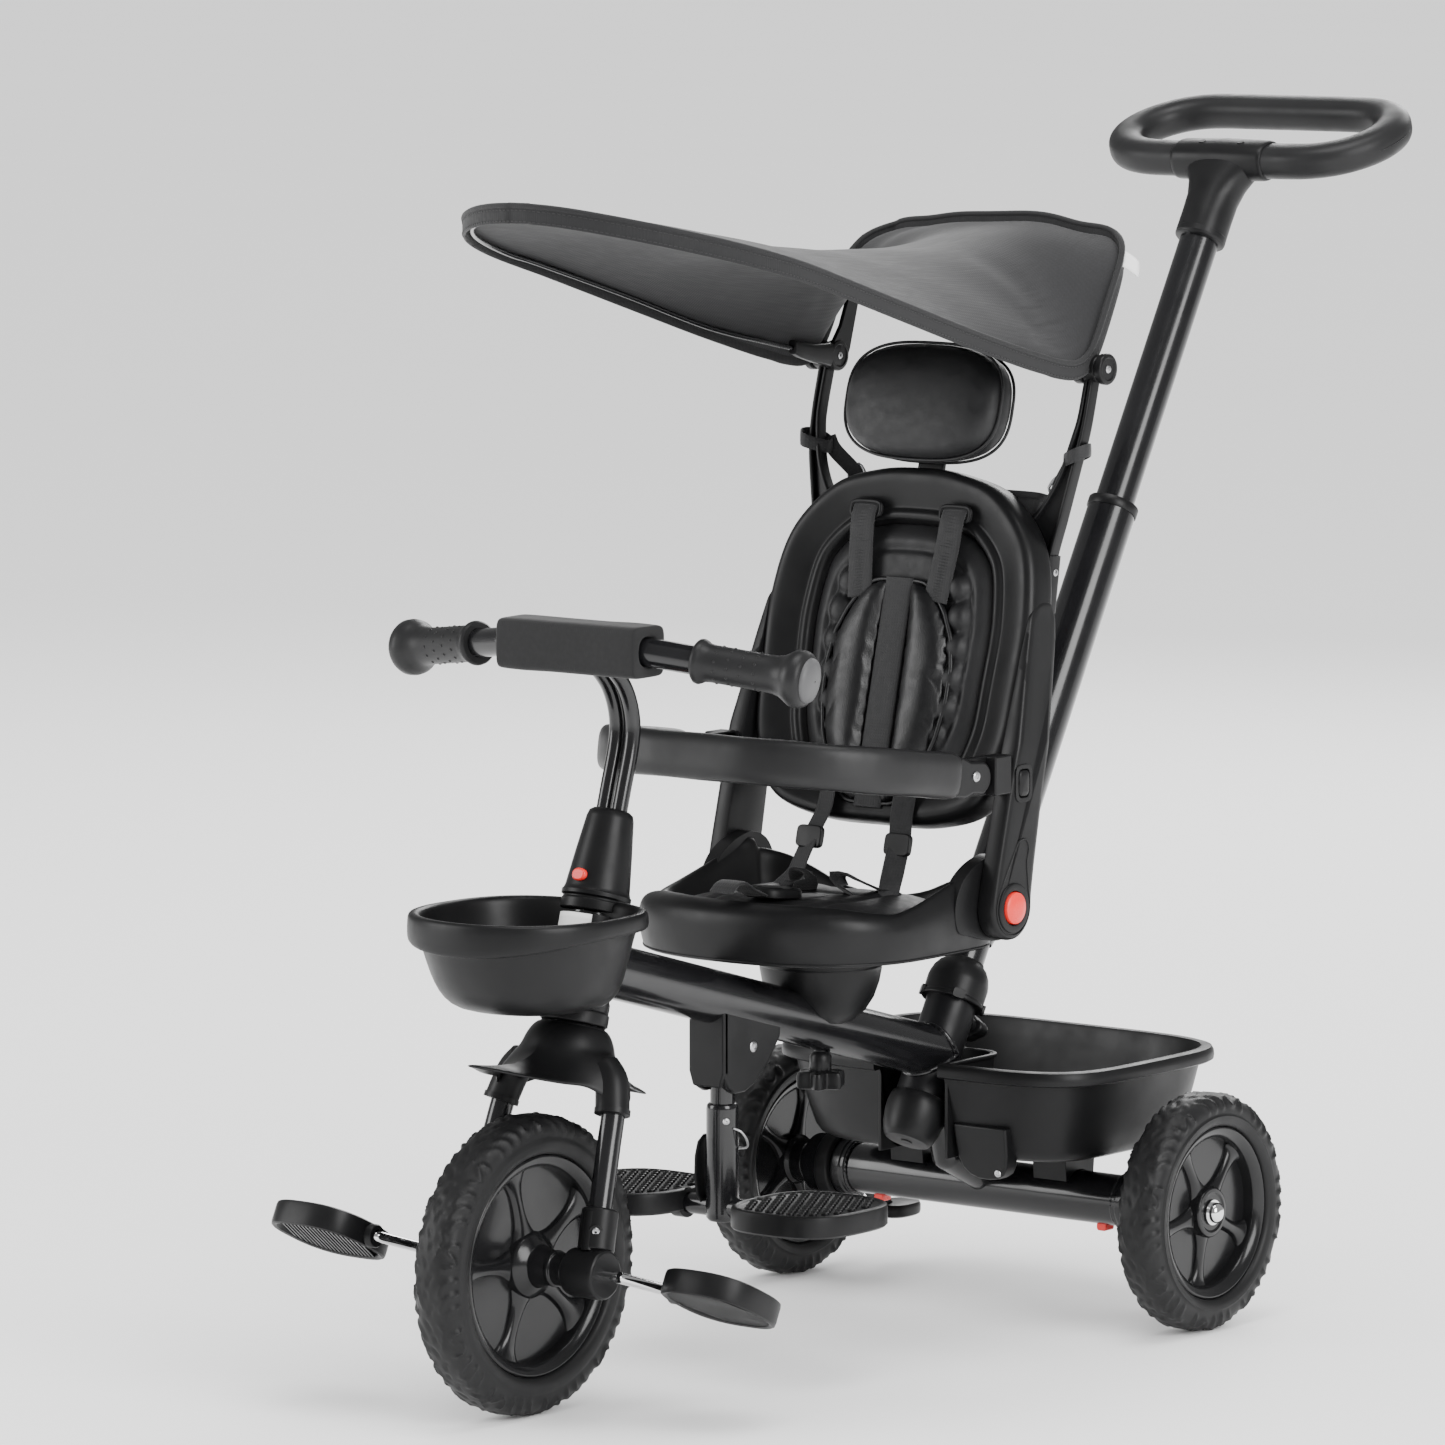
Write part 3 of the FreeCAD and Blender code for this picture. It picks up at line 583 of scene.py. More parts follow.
def area_light(name, place, aim, size, power):
    data = bpy.data.lights.new(name, "AREA")
    data.shape = "RECTANGLE"
    data.size, data.size_y = size
    data.energy = power
    light = bpy.data.objects.new(name, data)
    SCENE.collection.objects.link(light)
    light.location = place
    light.rotation_mode = "QUATERNION"
    light.rotation_quaternion = (Vector(aim) - Vector(place)).to_track_quat("-Z", "Y")


def make_studio():
    floor = bpy.data.meshes.new("floor")
    floor.from_pydata([(-70, -70, 0), (70, -70, 0), (70, 70, 0), (-70, 70, 0)], [], [(0, 1, 2, 3)])
    obj = bpy.data.objects.new("floor", floor)
    SCENE.collection.objects.link(obj)
    mat, tree, shader = node_tree("floor")
    cloud = noise(tree, coordinates(tree), 0.6)
    link(
        tree, mixed(tree, cloud, (0.86, 0.86, 0.86), (0.88, 0.88, 0.88)),
        shader.inputs["Base Color"],
    )
    shader.inputs["Roughness"].default_value = 0.9
    floor.materials.append(mat)
    world = bpy.data.worlds.new("studio")
    world.use_nodes = True
    background = world.node_tree.nodes["Background"]
    background.inputs["Color"].default_value = (1, 1, 1, 1)
    # the room looks dimmer in glossy surfaces than it lights the floor, as with black flags
    rays = world.node_tree.nodes.new("ShaderNodeLightPath")
    dim = world.node_tree.nodes.new("ShaderNodeMath")
    dim.operation = "MULTIPLY_ADD"
    dim.inputs[1].default_value = -1.26
    dim.inputs[2].default_value = 1.6
    world.node_tree.links.new(rays.outputs["Is Glossy Ray"], dim.inputs[0])
    world.node_tree.links.new(dim.outputs[0], background.inputs["Strength"])
    SCENE.world = world
    area_light("key", (4.2, -1.2, 2.4), (0, -0.1, 0.5), (2.4, 2.8), 200)
    area_light("fill", (-3.6, -3.4, 1.8), (0, -0.1, 0.5), (2.2, 2.6), 120)
    area_light("rear", (-1.5, 4.2, 2.6), (0, 0, 0.6), (3.0, 1.6), 120)
    area_light("top", (0.4, -0.4, 4.2), (0, -0.1, 0.5), (2.0, 2.0), 90)


make_camera()
make_studio()

# ---- CAD nodes that stay as they are get smooth shading and the finish of their slot ----
FINISH = {
    "painted_steel": "paint",
    "bare_steel": "zinc",
    "chrome": "chrome",
    "satin_plastic": "plastic",
    "gloss_plastic": "gloss",
    "red_plastic": "red",
    "eva_tyre": "tyre",
    "grip_rubber": "rubber",
    "foam": "foam",
    "synthetic_leather": "leather",
    "canopy_fabric": "canopy",
    "webbing": "webbing",
}
for part in frame["record"]["subparts"]:
    node = NODES[part["node"]]
    node.data.shade_smooth()
    node.data.set_sharp_from_angle(angle=math.radians(32))
    node.data.materials.clear()
    node.data.materials.append(MATERIALS[FINISH[part["material_slot"]]][0])

# ---- wheels ----
FRONT_AXLE = W(0, FRONT_AXLE_Y, FRONT_RADIUS)


def tread(u, v, period):
    """Height of the moulded ribs in millimetres: u along the tyre, v across its shoulder."""
    lines = [
        ([(3, 5), (4, 11), (8, 13.5), (12, 11), (15, 7.5), (19, 6.5), (23, 9), (24, 14)], 1.7, 1.5),
        ([(-6, 20), (0, 17), (8, 19.5), (18, 23)], 1.3, 1.1),
        ([(33, 5), (34, 10), (38, 15), (46, 18)], 2.2, 1.3),
        ([(45, 4), (46, 9), (50, 14), (58, 17)], 2.2, 1.3),
        ([(57, 4), (58, 8), (61, 12), (67, 15)], 1.9, 1.1),
    ]
    grooves = [
        ([(6, 27), (14, 31), (20, 40)], 1.8), ([(30, 24), (38, 29), (44, 38)], 1.8),
        ([(54, 24), (62, 29), (68, 38)], 1.8),
    ]
    height = np.zeros_like(u)
    local = np.mod(u, period)

    def near(points):
        best = np.full_like(u, 1e9)
        for (u0, v0), (u1, v1) in zip(points, points[1:]):
            for shift in (-period, 0, period):
                px, py = local - u0 - shift, v - v0
                dx, dy = u1 - u0, v1 - v0
                t = np.clip((px * dx + py * dy) / (dx * dx + dy * dy), 0, 1)
                best = np.minimum(best, np.hypot(px - t * dx, py - t * dy))
        return best

    for points, half, high in lines:
        d = np.clip(1 - near(points) / (half * 1.7), 0, 1)
        height = np.maximum(height, 1.45 * high * d * d * (3 - 2 * d))
    for points, half in grooves:
        d = np.clip(1 - near(points) / (half * 1.6), 0, 1)
        height = height - 1.3 * d * d * (3 - 2 * d)
    return height


def make_tyre(name, body, centre, radius, inner, node, periods):
    shape = [
        (-12, inner), (-17.5, inner + 1.2), (-20, inner + 5), (-20.6, inner + 10),
        (-20.2, radius - 19.5), (-19.2, radius - 18),
    ]
    shape += [
        (-19.0, radius - 14), (-17.6, radius - 8.5), (-13.5, radius - 4), (-7.5, radius - 1.4),
        (0, radius - 0.6),
    ]
    shape += [(-a, r) for a, r in reversed(shape[:-1])]
    line = even(curve_through([Vector((a, r, 0)) / 1000 for a, r in shape], 400), 0.0021)
    axial = np.array([p.x for p in line]) * 1000
    radial = np.array([p.y for p in line]) * 1000
    da, dr = np.gradient(axial), np.gradient(radial)
    size = np.hypot(da, dr)
    na, nr = -dr / size, da / size
    start = radius - 18
    arc = np.concatenate([[0], np.cumsum(np.hypot(np.diff(axial), np.diff(radial)))])
    middle = arc[-1] / 2
    edge = arc[np.argmax(radial > start)]
    across = np.where(arc < middle, arc - edge, arc[-1] - edge - arc)
    count = int(round(2 * math.pi * radius / 2.0))
    angle = np.arange(count) * 2 * math.pi / count
    u = angle[:, None] * radius + np.where(arc > middle, 0.5, 0.0)[None, :] * (
        2 * math.pi * radius / periods
    )
    v = np.repeat(across[None, :], count, 0)
    height = tread(u, v, 2 * math.pi * radius / periods)
    height *= np.clip(v / 2.5 + 1, 0, 1)
    height = np.where(v < -2.5, 0, height)
    a = axial[None, :] + na[None, :] * height
    r = np.minimum(radial[None, :] + nr[None, :] * height, radius - 0.05)
    rows = []
    for i in range(count):
        c, s = math.cos(angle[i]), math.sin(angle[i])
        rows.append(
            [centre + Vector((a[i, j], r[i, j] * c, r[i, j] * s)) / 1000 for j in range(len(line))]
        )
    return piece(
        name, body, "tyre", *grid(rows, wrap=True, loop=True, caps=False), stands_for=[node],
        merge=False, sharp=60,
    )


def spoke_rows(stations, centre, angle):
    """Spoke along a radius, from (radius, half width, half depth)."""
    out = Vector((0, -math.sin(angle), math.cos(angle)))
    along = Vector((0, math.cos(angle), math.sin(angle)))
    rows = []
    for r, half, deep in stations:
        row = []
        for a, b in superellipse(half, deep, 2.3, 28):
            row.append(centre + (out * r + along * a + X * b) / 1000)
        rows.append(row)
    return rows


def smooth_stations(stations, count):
    line = curve_through([Vector(s) for s in stations], count)
    return [(p.x, p.y, p.z) for p in line]


def make_rim(name, body, centre, outer, inner, barrel, stations, node, turn=0.0):
    ring = [
        (inner, -9), (inner + 1.5, -12.5), (inner + 5, -15.5), (outer - 1.5, -16.5),
        (outer + 0.2, -15.5),
    ]
    ring += [(r, -a) for r, a in reversed(ring)]
    web = [
        (14, -2.4), (inner * 0.6, -1.8), (inner + 2, -1.8), (inner + 2, 1.8), (inner * 0.6, 1.8),
        (14, 2.4),
    ]
    parts = [turned(ring, centre, X, 96), turned(barrel, centre, X, 48), turned(web, centre, X, 96)]
    for i in range(5):
        angle = 2 * math.pi * i / 5 + turn
        parts.append(grid(spoke_rows(smooth_stations(stations, 18), centre, angle)))
    return piece(name, body, "gloss", *joined(*parts), stands_for=[node], sharp=38, bevel=0.5)


make_tyre("front_tyre_ribbed", "front_wheel", FRONT_AXLE, FRONT_RADIUS, 88, "front_tyre", 10)
front_barrel = [
    (0, -47), (11.5, -47), (13, -45.5), (13, -35), (14.6, -34), (14.6, -31), (13.6, -30), (17, -16),
    (25, -11), (27, -7),
]
front_barrel += [(r, -a) for r, a in reversed(front_barrel)]
front_spoke = [
    (18, 17, 9), (27, 12, 8.2), (36, 8.2, 7.4), (48, 6.8, 6.6), (60, 7.6, 6.4), (70, 11.5, 7),
    (78, 19, 8.5), (83, 26, 9.5),
]
make_rim(
    "front_rim", "front_wheel", FRONT_AXLE, 88, 77.5, front_barrel, front_spoke, "front_hub", 0.25
)
rear_spoke = [
    (15, 13, 9), (22, 9.5, 8), (30, 6.6, 7.2), (40, 5.8, 6.6), (50, 6.8, 6.4), (58, 10.5, 7),
    (63, 16, 8.5), (68, 23, 9.5),
]
for side, label in ((1, "left"), (-1, "right")):
    centre = W(side * REAR_WHEEL_X, 0, REAR_RADIUS)
    make_tyre(
        "rear_tyre_ribbed_" + label, "rear_wheel_" + label, centre, REAR_RADIUS, 72,
        "rear_tyre_" + label, 8,
    )
    barrel = [
        (5.1, -25), (17, -25), (18.5, -23.5), (18.5, -12), (21.5, -9), (21.5, 10.5), (20, 12.6),
        (16.5, 13), (15.5, 11.8), (5.1, 11.8),
    ]
    barrel = [(r, side * a) for r, a in barrel]
    make_rim(
        "rear_rim_" + label, "rear_wheel_" + label, centre, 72, 61.5, barrel, rear_spoke,
        "rear_hub_" + label, 0.1 + 0.4 * side,
    )

# chrome cranks and pedals
DROP = math.radians(18)
CRANK_DY, CRANK_DZ = 62 * math.cos(DROP), -62 * math.sin(DROP)
path = []
for side in (-1, 1):
    end = [
        (84, 0), (88, 0), (92, 0.03), (95, 0.22), (98, 0.55), (101, 0.86), (104, 0.985), (109, 1.0),
        (120, 1.0), (186, 1.0),
    ]
    half = [
        FRONT_AXLE + Vector(
            (side * x, side * CRANK_DY * f, side * CRANK_DZ * f)
        ) / 1000 for x, f in end
    ]
    path += reversed(half) if side == -1 else half
piece(
    "crank", "front_wheel", "chrome", *tube(path, 4.5, 3, 20), stands_for=["crank_axle"], sharp=60
)


def make_pedal(name, body, node, side):
    centre = FRONT_AXLE + Vector((side * 150, side * CRANK_DY, side * CRANK_DZ)) / 1000
    turn = Matrix.Rotation(math.radians(-26), 3, "X")
    place = lambda u, v, w: centre + turn @ Vector((side * u, v, w)) / 1000
    outline = superellipse(42, 45, 2.7, 56)
    parts = []
    rows = []
    for scale, w in (
        (0.86, -6), (0.9, -9.2), (0.955, -10), (0.99, -9), (1, -6.5), (1, 6.5), (0.99, 9),
        (0.955, 10), (0.9, 9.2), (0.86, 6),
    ):
        rows.append([place(u * scale, v * scale, w) for u, v in outline])
    parts.append(grid(rows))
    for low, high in ((5.5, 8.6), (-8.6, -5.5)):
        for k in range(-9, 10):
            offset = k * 3.9
            ends = []
            for sign in (-1, 1):
                best = 0
                for step in range(0, 60):
                    v = sign * step
                    u = offset + 0.45 * v
                    if abs(u / 38.0) ** 2.7 + abs(v / 41.0) ** 2.7 > 1:
                        break
                    best = v
                ends.append(best)
            if ends[1] - ends[0] < 8:
                continue
            a, b = (offset + 0.45 * ends[0], ends[0]), (offset + 0.45 * ends[1], ends[1])
            quad = [(a[0] - 0.9, a[1]), (a[0] + 0.9, a[1]), (b[0] + 0.9, b[1]), (b[0] - 0.9, b[1])]
            parts.append(plate(quad, place, low, high))
    boss = [(4.7, 0), (8.5, 0), (9.5, 1.2), (9.5, 12), (4.7, 12)]
    parts.append(turned(boss, place(-48, 0, 0), X * side, 32))
    piece(name, body, "plastic", *joined(*parts), stands_for=[node], sharp=40)


make_pedal("pedal_tread_left", "pedal_left", "pedal_left", 1)
make_pedal("pedal_tread_right", "pedal_right", "pedal_right", -1)

# ---- steering ----
leg_line = [
    W(65.5, -613, 145), W(62.5, -604, 172), W(58.5, -590, 212), W(54.5, -578, 248),
    W(44, -572, 268), W(24, -570.5, 277), W(0, -570, 279),
]
leg_line += mirror(reversed(leg_line[:-1]))
fork_parts = joined(tube(leg_line, 9.5, 4, 28), straight(on_head(-30), on_head(150), 12))
piece("fork_tubes", "steering", "paint", *fork_parts, stands_for=["fork"], sharp=50)

shoe_parts = []
for side in (-1, 1):
    top, low = W(side * 63, -605, 168), W(side * 66.3, -615.4, 136)
    shoe_parts.append(straight(low, top, 14.6, 40, edge=1.4))
    barrel = [
        (0, -9.5), (16, -9.5), (18.6, -8), (19.4, -4), (19.8, 20), (19.4, 23.2), (17.8, 24.4),
        (0, 24.6),
    ]
    shoe_parts.append(turned(barrel, FRONT_AXLE + X * side * 0.058, X * side, 48))
    rib = [top + (low - top) * f + Vector((side * 0.0, -0.0075, 0)) for f in (0.04, 0.5, 0.96)]
    shoe_parts.append(swept(even(rib, 0.003), superellipse(5.5, 8, 3, 20), keep_up=-Y))
    face = top.lerp(low, 0.42) + Vector((side * 7.5, -12.6, -1)) / 1000
    shoe_parts.append(straight(face - Vector((side * 4, -6, 0)) / 1000, face, 5.8, 24))
    screw(
        "shoe_screw_%s" % ("left" if side > 0 else "right"), "steering", face,
        Vector((side * 0.55, -0.83, 0)), 3.2,
    )
piece(
    "shoes_moulded", "steering", "plastic", *joined(*shoe_parts), stands_for=["fork_shoes"],
    sharp=36, bevel=0.5,
)


def make_crown():
    """Fender over the front wheel: a bell that flares into a beak in front and one behind."""
    edge = [
        W(0, -693, 288), W(9, -676, 283.5), W(24, -650, 276), W(38, -622, 268.5), W(47, -602, 263)
    ]
    edge += [
        W(56, -590, 254), W(63, -579, 248), W(63, -568, 247), W(54, -556, 251), W(42, -540, 256)
    ]
    edge += [W(29, -516, 250), W(15, -490, 243), W(0, -467, 237)]
    half = even(curve_through(edge, 200), 0.004)
    ring = half + mirror(reversed(half[1:-1]))
    bell = [(25.4, -4), (27.6, -4.6), (30.4, -7), (33.4, -11.5), (35.8, -17), (37.6, -23.5)]
    rows = [[] for _ in range(len(bell) + 9)]
    for p in ring:
        arm = p - on_head(0)
        level = arm.dot(HEAD_UP) * 1000
        flat = arm - HEAD_UP * arm.dot(HEAD_UP)
        reach = flat.length * 1000
        out = flat.normalized()
        sideways = min(1.0, abs(out.x)) ** 4
        for k, (r, w) in enumerate(bell):
            rows[k].append(on_head(w) + out * r / 1000)
        start = Vector((bell[-1][0], bell[-1][1]))
        bend = Vector((40.5, 0.86 * level)).lerp(Vector((0.94 * reach, -27)), sideways)
        for k in range(1, 10):
            f = k / 9
            q = start * (1 - f) ** 2 + bend * (2 * f * (1 - f)) + Vector((reach, level)) * f * f
            rows[len(bell) + k - 1].append(on_head(q.y) + out * q.x / 1000)
    verts, faces = grid(rows, wrap=True, caps=False)
    obj = piece(
        "crown_moulded", "steering", "plastic", verts, faces, stands_for=["crown_fender"], sharp=70,
        thick=2.6,
    )
    obj.modifiers["thickness"].offset = -1
    add_subdivision(obj, 1)
    parts = []
    for side in (-1, 1):
        line = [W(side * 40, -573, 274), W(side * 50, -575, 263), W(side * 56.5, -582, 242)]
        parts.append(swept(even(curve_through(line, 30), 0.003), circle(13.6, 32)))
        parts.append(
            swept([W(side * 56.2, -581.5, 243.5), W(side * 56.8, -583, 239.5)], circle(14.4, 32))
        )
    piece("crown_sleeves", "steering", "plastic", *joined(*parts), sharp=50)
    piece(
        "crown_collar", "steering", "plastic",
        *turned(
            [(18.3, -7), (25.4, -7), (26.2, -6), (26.2, -4.2), (25.6, -3.5), (18.3, -3.5)],
            on_head(0), HEAD_UP, 64,
        ),
        sharp=40,
    )


make_crown()

cover = [
    (12.1, 87), (26.5, 87), (27.2, 88), (27.2, 95), (26.2, 96), (26.2, 97.5), (28, 98.5), (28, 102),
    (26.9, 103), (26, 106), (22.5, 136), (19, 163),
]
cover += [(17.5, 167.5), (14.5, 169.6), (12.1, 170)]
piece(
    "stem_cover_moulded", "steering", "plastic", *turned(cover, W(0, HEAD_Y, HEAD_Z), HEAD_UP, 64),
    stands_for=["stem_cover"], sharp=40, bevel=0.4,
)
button_place = lambda u, v, w: on_head(113 + v, w, u)
piece(
    "red_button", "stem_button", "red",
    *plate(superellipse(6.6, 5.2, 2.2, 32), button_place, 21, 28), stands_for=["stem_button"],
    sharp=40, bevel=1.6, segments=3,
)

stem_parts = []
for side in (-1, 1):
    x = side * 8.0
    line = [
        on_head(150, 0, x), on_head(170, 0, x), on_head(188, 0, x), W(x, -496.5, 523),
        W(x, -496.5, 545), W(x, -505, 566), W(x, -520, 582), W(x, -540, 596),
    ]
    stem_parts.append(tube(line, 6.3, 4, 24))
    weld = [W(x - 6, -531.5, 589), W(x, -534.5, 586.5), W(x + 6, -531.5, 589)]
    stem_parts.append(tube(weld, 2.2, 2, 12))
stem_parts.append(straight(on_head(151), on_head(163), 12))
piece("stem_tubes", "steering", "paint", *joined(*stem_parts), stands_for=["stem"], sharp=50)

bar_line = [
    W(-205, -520.7, 586.5), W(-150, -533.5, 593.2), W(-84, -549, 601.2), W(-62, -552, 603),
    W(0, -552, 603), W(62, -552, 603), W(84, -549, 601.2), W(150, -533.5, 593.2),
    W(205, -520.7, 586.5),
]
piece(
    "handlebar_bent", "steering", "paint",
    *swept(even(curve_through(bar_line, 300), 0.004), circle(11.5, 32)), stands_for=["handlebar"],
    sharp=50,
)


def make_grip(side):
    start, end = W(side * 70, -552, 603), W(side * 205, -520.7, 586.5)
    along = (end - start).normalized()
    base = start + along * 0.024
    profile = [
        (11.8, 18), (16.2, 18), (17.6, 19.4), (18, 21.5), (17, 24), (15.3, 27), (14.8, 32),
        (14.8, 78), (15.2, 86), (16.6, 92),
    ]
    profile += [
        (19.4, 97), (22.2, 101.5), (22.8, 105), (22.6, 109), (21.2, 112), (18.2, 113.6),
        (11.8, 113.8),
    ]
    parts = [turned(profile, base, along, 48)]
    side_dir = along.orthogonal().normalized()
    other = along.cross(side_dir)
    for row in range(4):
        for k in range(12):
            a = 2 * math.pi * (k + 0.5 * (row % 2)) / 12
            out = side_dir * math.cos(a) + other * math.sin(a)
            centre = base + along * (0.038 + 0.0115 * row) + out * 0.0146
            parts.append(
                turned([(0, -0.6), (1.5, -0.6), (1.2, 0.5), (0.6, 0.85), (0, 0.9)], centre, out, 10)
            )
    label = "left" if side > 0 else "right"
    piece(
        "grip_moulded_" + label, "steering", "rubber", *joined(*parts),
        stands_for=["grip_" + label], sharp=45,
    )
    disc = [
        (0, 112), (17.4, 112), (18, 114), (17, 116.6), (12, 118.6), (5, 119.4), (0.9, 119.5),
        (0.7, 118.5), (0, 118.5),
    ]
    piece("grip_end_" + label, "steering", "cap_grey", *turned(disc, base, along, 40), sharp=50)


make_grip(1)
make_grip(-1)


def make_bar_pad():
    """Foam sleeve with a fabric cover: softly square, with open ends that show the bar."""
    rows = []
    stations = [
        (-70, 0.93), (-69, 0.985), (-64, 1.0), (-44, 1.012), (-22, 0.995), (0, 1.0), (22, 0.99),
        (44, 1.012), (64, 1.0), (69, 0.985), (70, 0.93),
    ]
    section = superellipse(20.4, 20.6, 6.5, 64)
    for x, scale in stations:
        row = []
        for a, b in section:
            crease = 0.45 * math.sin(
                x * 0.11 + 3 * math.atan2(b, a)
            ) + 0.3 * math.sin(x * 0.23 - 2 * math.atan2(b, a))
            s = scale * (1 + crease / 60)
            row.append(W(x, -552 + a * s, 603 + b * s))
        rows.append(row)
    inner = []
    for x, r in ((70, 14.5), (69.7, 12.6), (60, 12.4), (-60, 12.4), (-69.7, 12.6), (-70, 14.5)):
        inner.append(
            [
                W(
                    x, -552 + r * math.cos(math.atan2(b, a)), 603 + r * math.sin(math.atan2(b, a))
                ) for a, b in section
            ]
        )
    verts, faces = grid(rows + inner, wrap=True, loop=True)
    obj = piece(
        "bar_pad_cover", "steering", "velour", verts, faces, stands_for=["handlebar_pad"], sharp=70
    )
    add_subdivision(obj, 2)
    seam = [W(x, -552 + 20.6 + 0.2 * math.sin(x * 0.2), 603 - 16) for x in range(-68, 69, 6)]
    piece("bar_pad_seam", "steering", "velour", *tube(seam, 0.7, 3, 8), sharp=60)


make_bar_pad()

# ---- front basket ----
def make_front_basket():
    centre = -622.0
    rows = []
    count = 96

    def ring(a, b, z, shift=0.0, front_drop=0.0):
        row = []
        for i in range(count):
            t = 2 * math.pi * i / count
            c, s = math.cos(t), math.sin(t)
            n = 2.7 if s > 0 else 2.15
            ahead = max(0.0, -s) ** 1.5
            row.append(
                W(
                    0.97 * a * math.copysign(abs(c) ** (2 / n), c),
                    centre + shift + b * math.copysign(abs(s) ** (2 / n), s),
                    z - front_drop * ahead,
                )
            )
        return row

    outer = [
        (2, 2, 322.6, 10, 0), (34, 32, 322, 9, 0), (52, 50, 323, 7, 0), (62, 61, 328, 5, 0),
        (69, 69, 338, 3, 0), (74, 74, 352, 1, 0), (78.5, 78, 368, 0, 0),
    ]
    outer += [
        (80.5, 80, 377, 0, 4), (82, 82, 383, 0, 8), (83.5, 83.5, 386.5, 0, 12),
        (89.5, 88.5, 386, 0, 13), (91.6, 90, 387, 0, 12.6), (92, 90.5, 390, 0, 11),
    ]
    outer += [
        (92, 90, 395.5, 0, 1), (91.2, 89.2, 399.2, 0, 0), (88.5, 87, 400.6, 0, 0),
        (84.5, 83, 400.4, 0, 0), (82, 80.5, 398.6, 0, 0), (80.8, 79.3, 394, 0, 0),
    ]
    outer += [
        (78.5, 77, 380, 0, 0), (74, 72, 358, 1, 0), (67, 66, 340, 3, 0), (58, 56, 330, 5, 0),
        (46, 44, 326.4, 7, 0), (26, 24, 325.4, 9, 0), (2, 2, 325.4, 10, 0),
    ]
    for a, b, z, shift, drop in outer:
        rows.append(ring(a, b, z, shift, drop))
    obj = piece(
        "front_basket_moulded", "frame", "plastic", *grid(rows), stands_for=["front_basket"],
        sharp=60,
    )
    add_subdivision(obj, 1)
    boss = [
        (18.2, -3), (25.6, -3), (27.4, -1.5), (27.4, 7), (26.2, 8.5), (25.4, 9), (25.4, 83),
        (24.8, 84), (18.2, 84),
    ]
    parts = [turned(boss, on_head(0), HEAD_UP, 64)]
    piece("front_basket_boss", "frame", "plastic", *joined(*parts), sharp=40, bevel=0.3)
    rows = []
    for v in np.linspace(66, 83, 5):
        turn = [math.radians(a) for a in np.linspace(-46, 38, 15)]
        rows.append([on_head(v, 25.7 * math.cos(a), 25.7 * math.sin(a)) for a in turn])
    piece("head_label", "frame", "label", *grid(rows, wrap=False, caps=False), sharp=60, thick=0.4)
    tab = lambda u, v, w: on_head(14 + v, -27.5 + w, u)
    piece(
        "front_basket_tab", "frame", "plastic", *plate(superellipse(9, 7, 4, 24), tab, -4, 2),
        sharp=40, bevel=0.8,
    )
    for side in (-1, 1):
        screw("basket_screw_%d" % (side + 2), "frame", on_head(56, 25.2, side * 8), -HEAD_BACK, 3.0)


make_front_basket()

# ---- welded frame: beads, caps and the socket ----
def weld_ring(centre, axis, radius, bead=2.0):
    axis = Vector(axis).normalized()
    side = axis.orthogonal().normalized()
    other = axis.cross(side)
    count = 120
    line = []
    for i in range(count):
        a = 2 * math.pi * i / count
        ripple = 0.35 * math.sin(a * 34) + 0.15 * math.sin(a * 13 + 1)
        radial = side * math.cos(a) + other * math.sin(a)
        line.append(centre + radial * (radius + ripple) / 1000)
    return swept(line, circle(bead, 12), closed=True)


MAIN_A, MAIN_B = W(0, -547.5, 350.0), W(0, -80.0, 222.0)
MAIN_ALONG = (MAIN_B - MAIN_A).normalized()


def junction_bead():
    """Bead where the main tube runs into the push-rod socket."""
    line = []
    side, other = X, MAIN_ALONG.cross(X).normalized()
    base = W(0, ROD_Y, ROD_Z)
    for i in range(120):
        a = 2 * math.pi * i / 120
        ripple = 0.3 * math.sin(a * 30)
        start = MAIN_A + (side * math.cos(a) + other * math.sin(a)) * 0.0222
        rel = start - base
        d, n = MAIN_ALONG, ROD_UP
        dd = d - n * d.dot(n)
        rr = rel - n * rel.dot(n)
        qa, qb, qc = dd.dot(dd), 2 * dd.dot(rr), rr.dot(rr) - (0.0222 + 0.0003 * ripple) ** 2
        disc = qb * qb - 4 * qa * qc
        if disc < 0:
            t = -qb / (2 * qa)
        else:
            t = (-qb - math.sqrt(disc)) / (2 * qa)
        line.append(start + d * t)
    return swept(line, circle(2.3, 12), closed=True)


head_bead = []
for i in range(120):
    a = 2 * math.pi * i / 120
    side, other = X, MAIN_ALONG.cross(X).normalized()
    start = MAIN_A + (side * math.cos(a) + other * math.sin(a)) * 0.0221
    rel = start - on_head(0)
    n, d = HEAD_UP, MAIN_ALONG
    dd, rr = d - n * d.dot(n), rel - n * rel.dot(n)
    qa, qb, qc = dd.dot(dd), 2 * dd.dot(rr), rr.dot(rr) - 0.0183 ** 2
    disc = max(qb * qb - 4 * qa * qc, 0)
    head_bead.append(start + d * ((-qb + math.sqrt(disc)) / (2 * qa)))
piece(
    "weld_beads", "frame", "paint",
    *joined(junction_bead(), swept(head_bead, circle(2.0, 12), closed=True)), sharp=60,
)

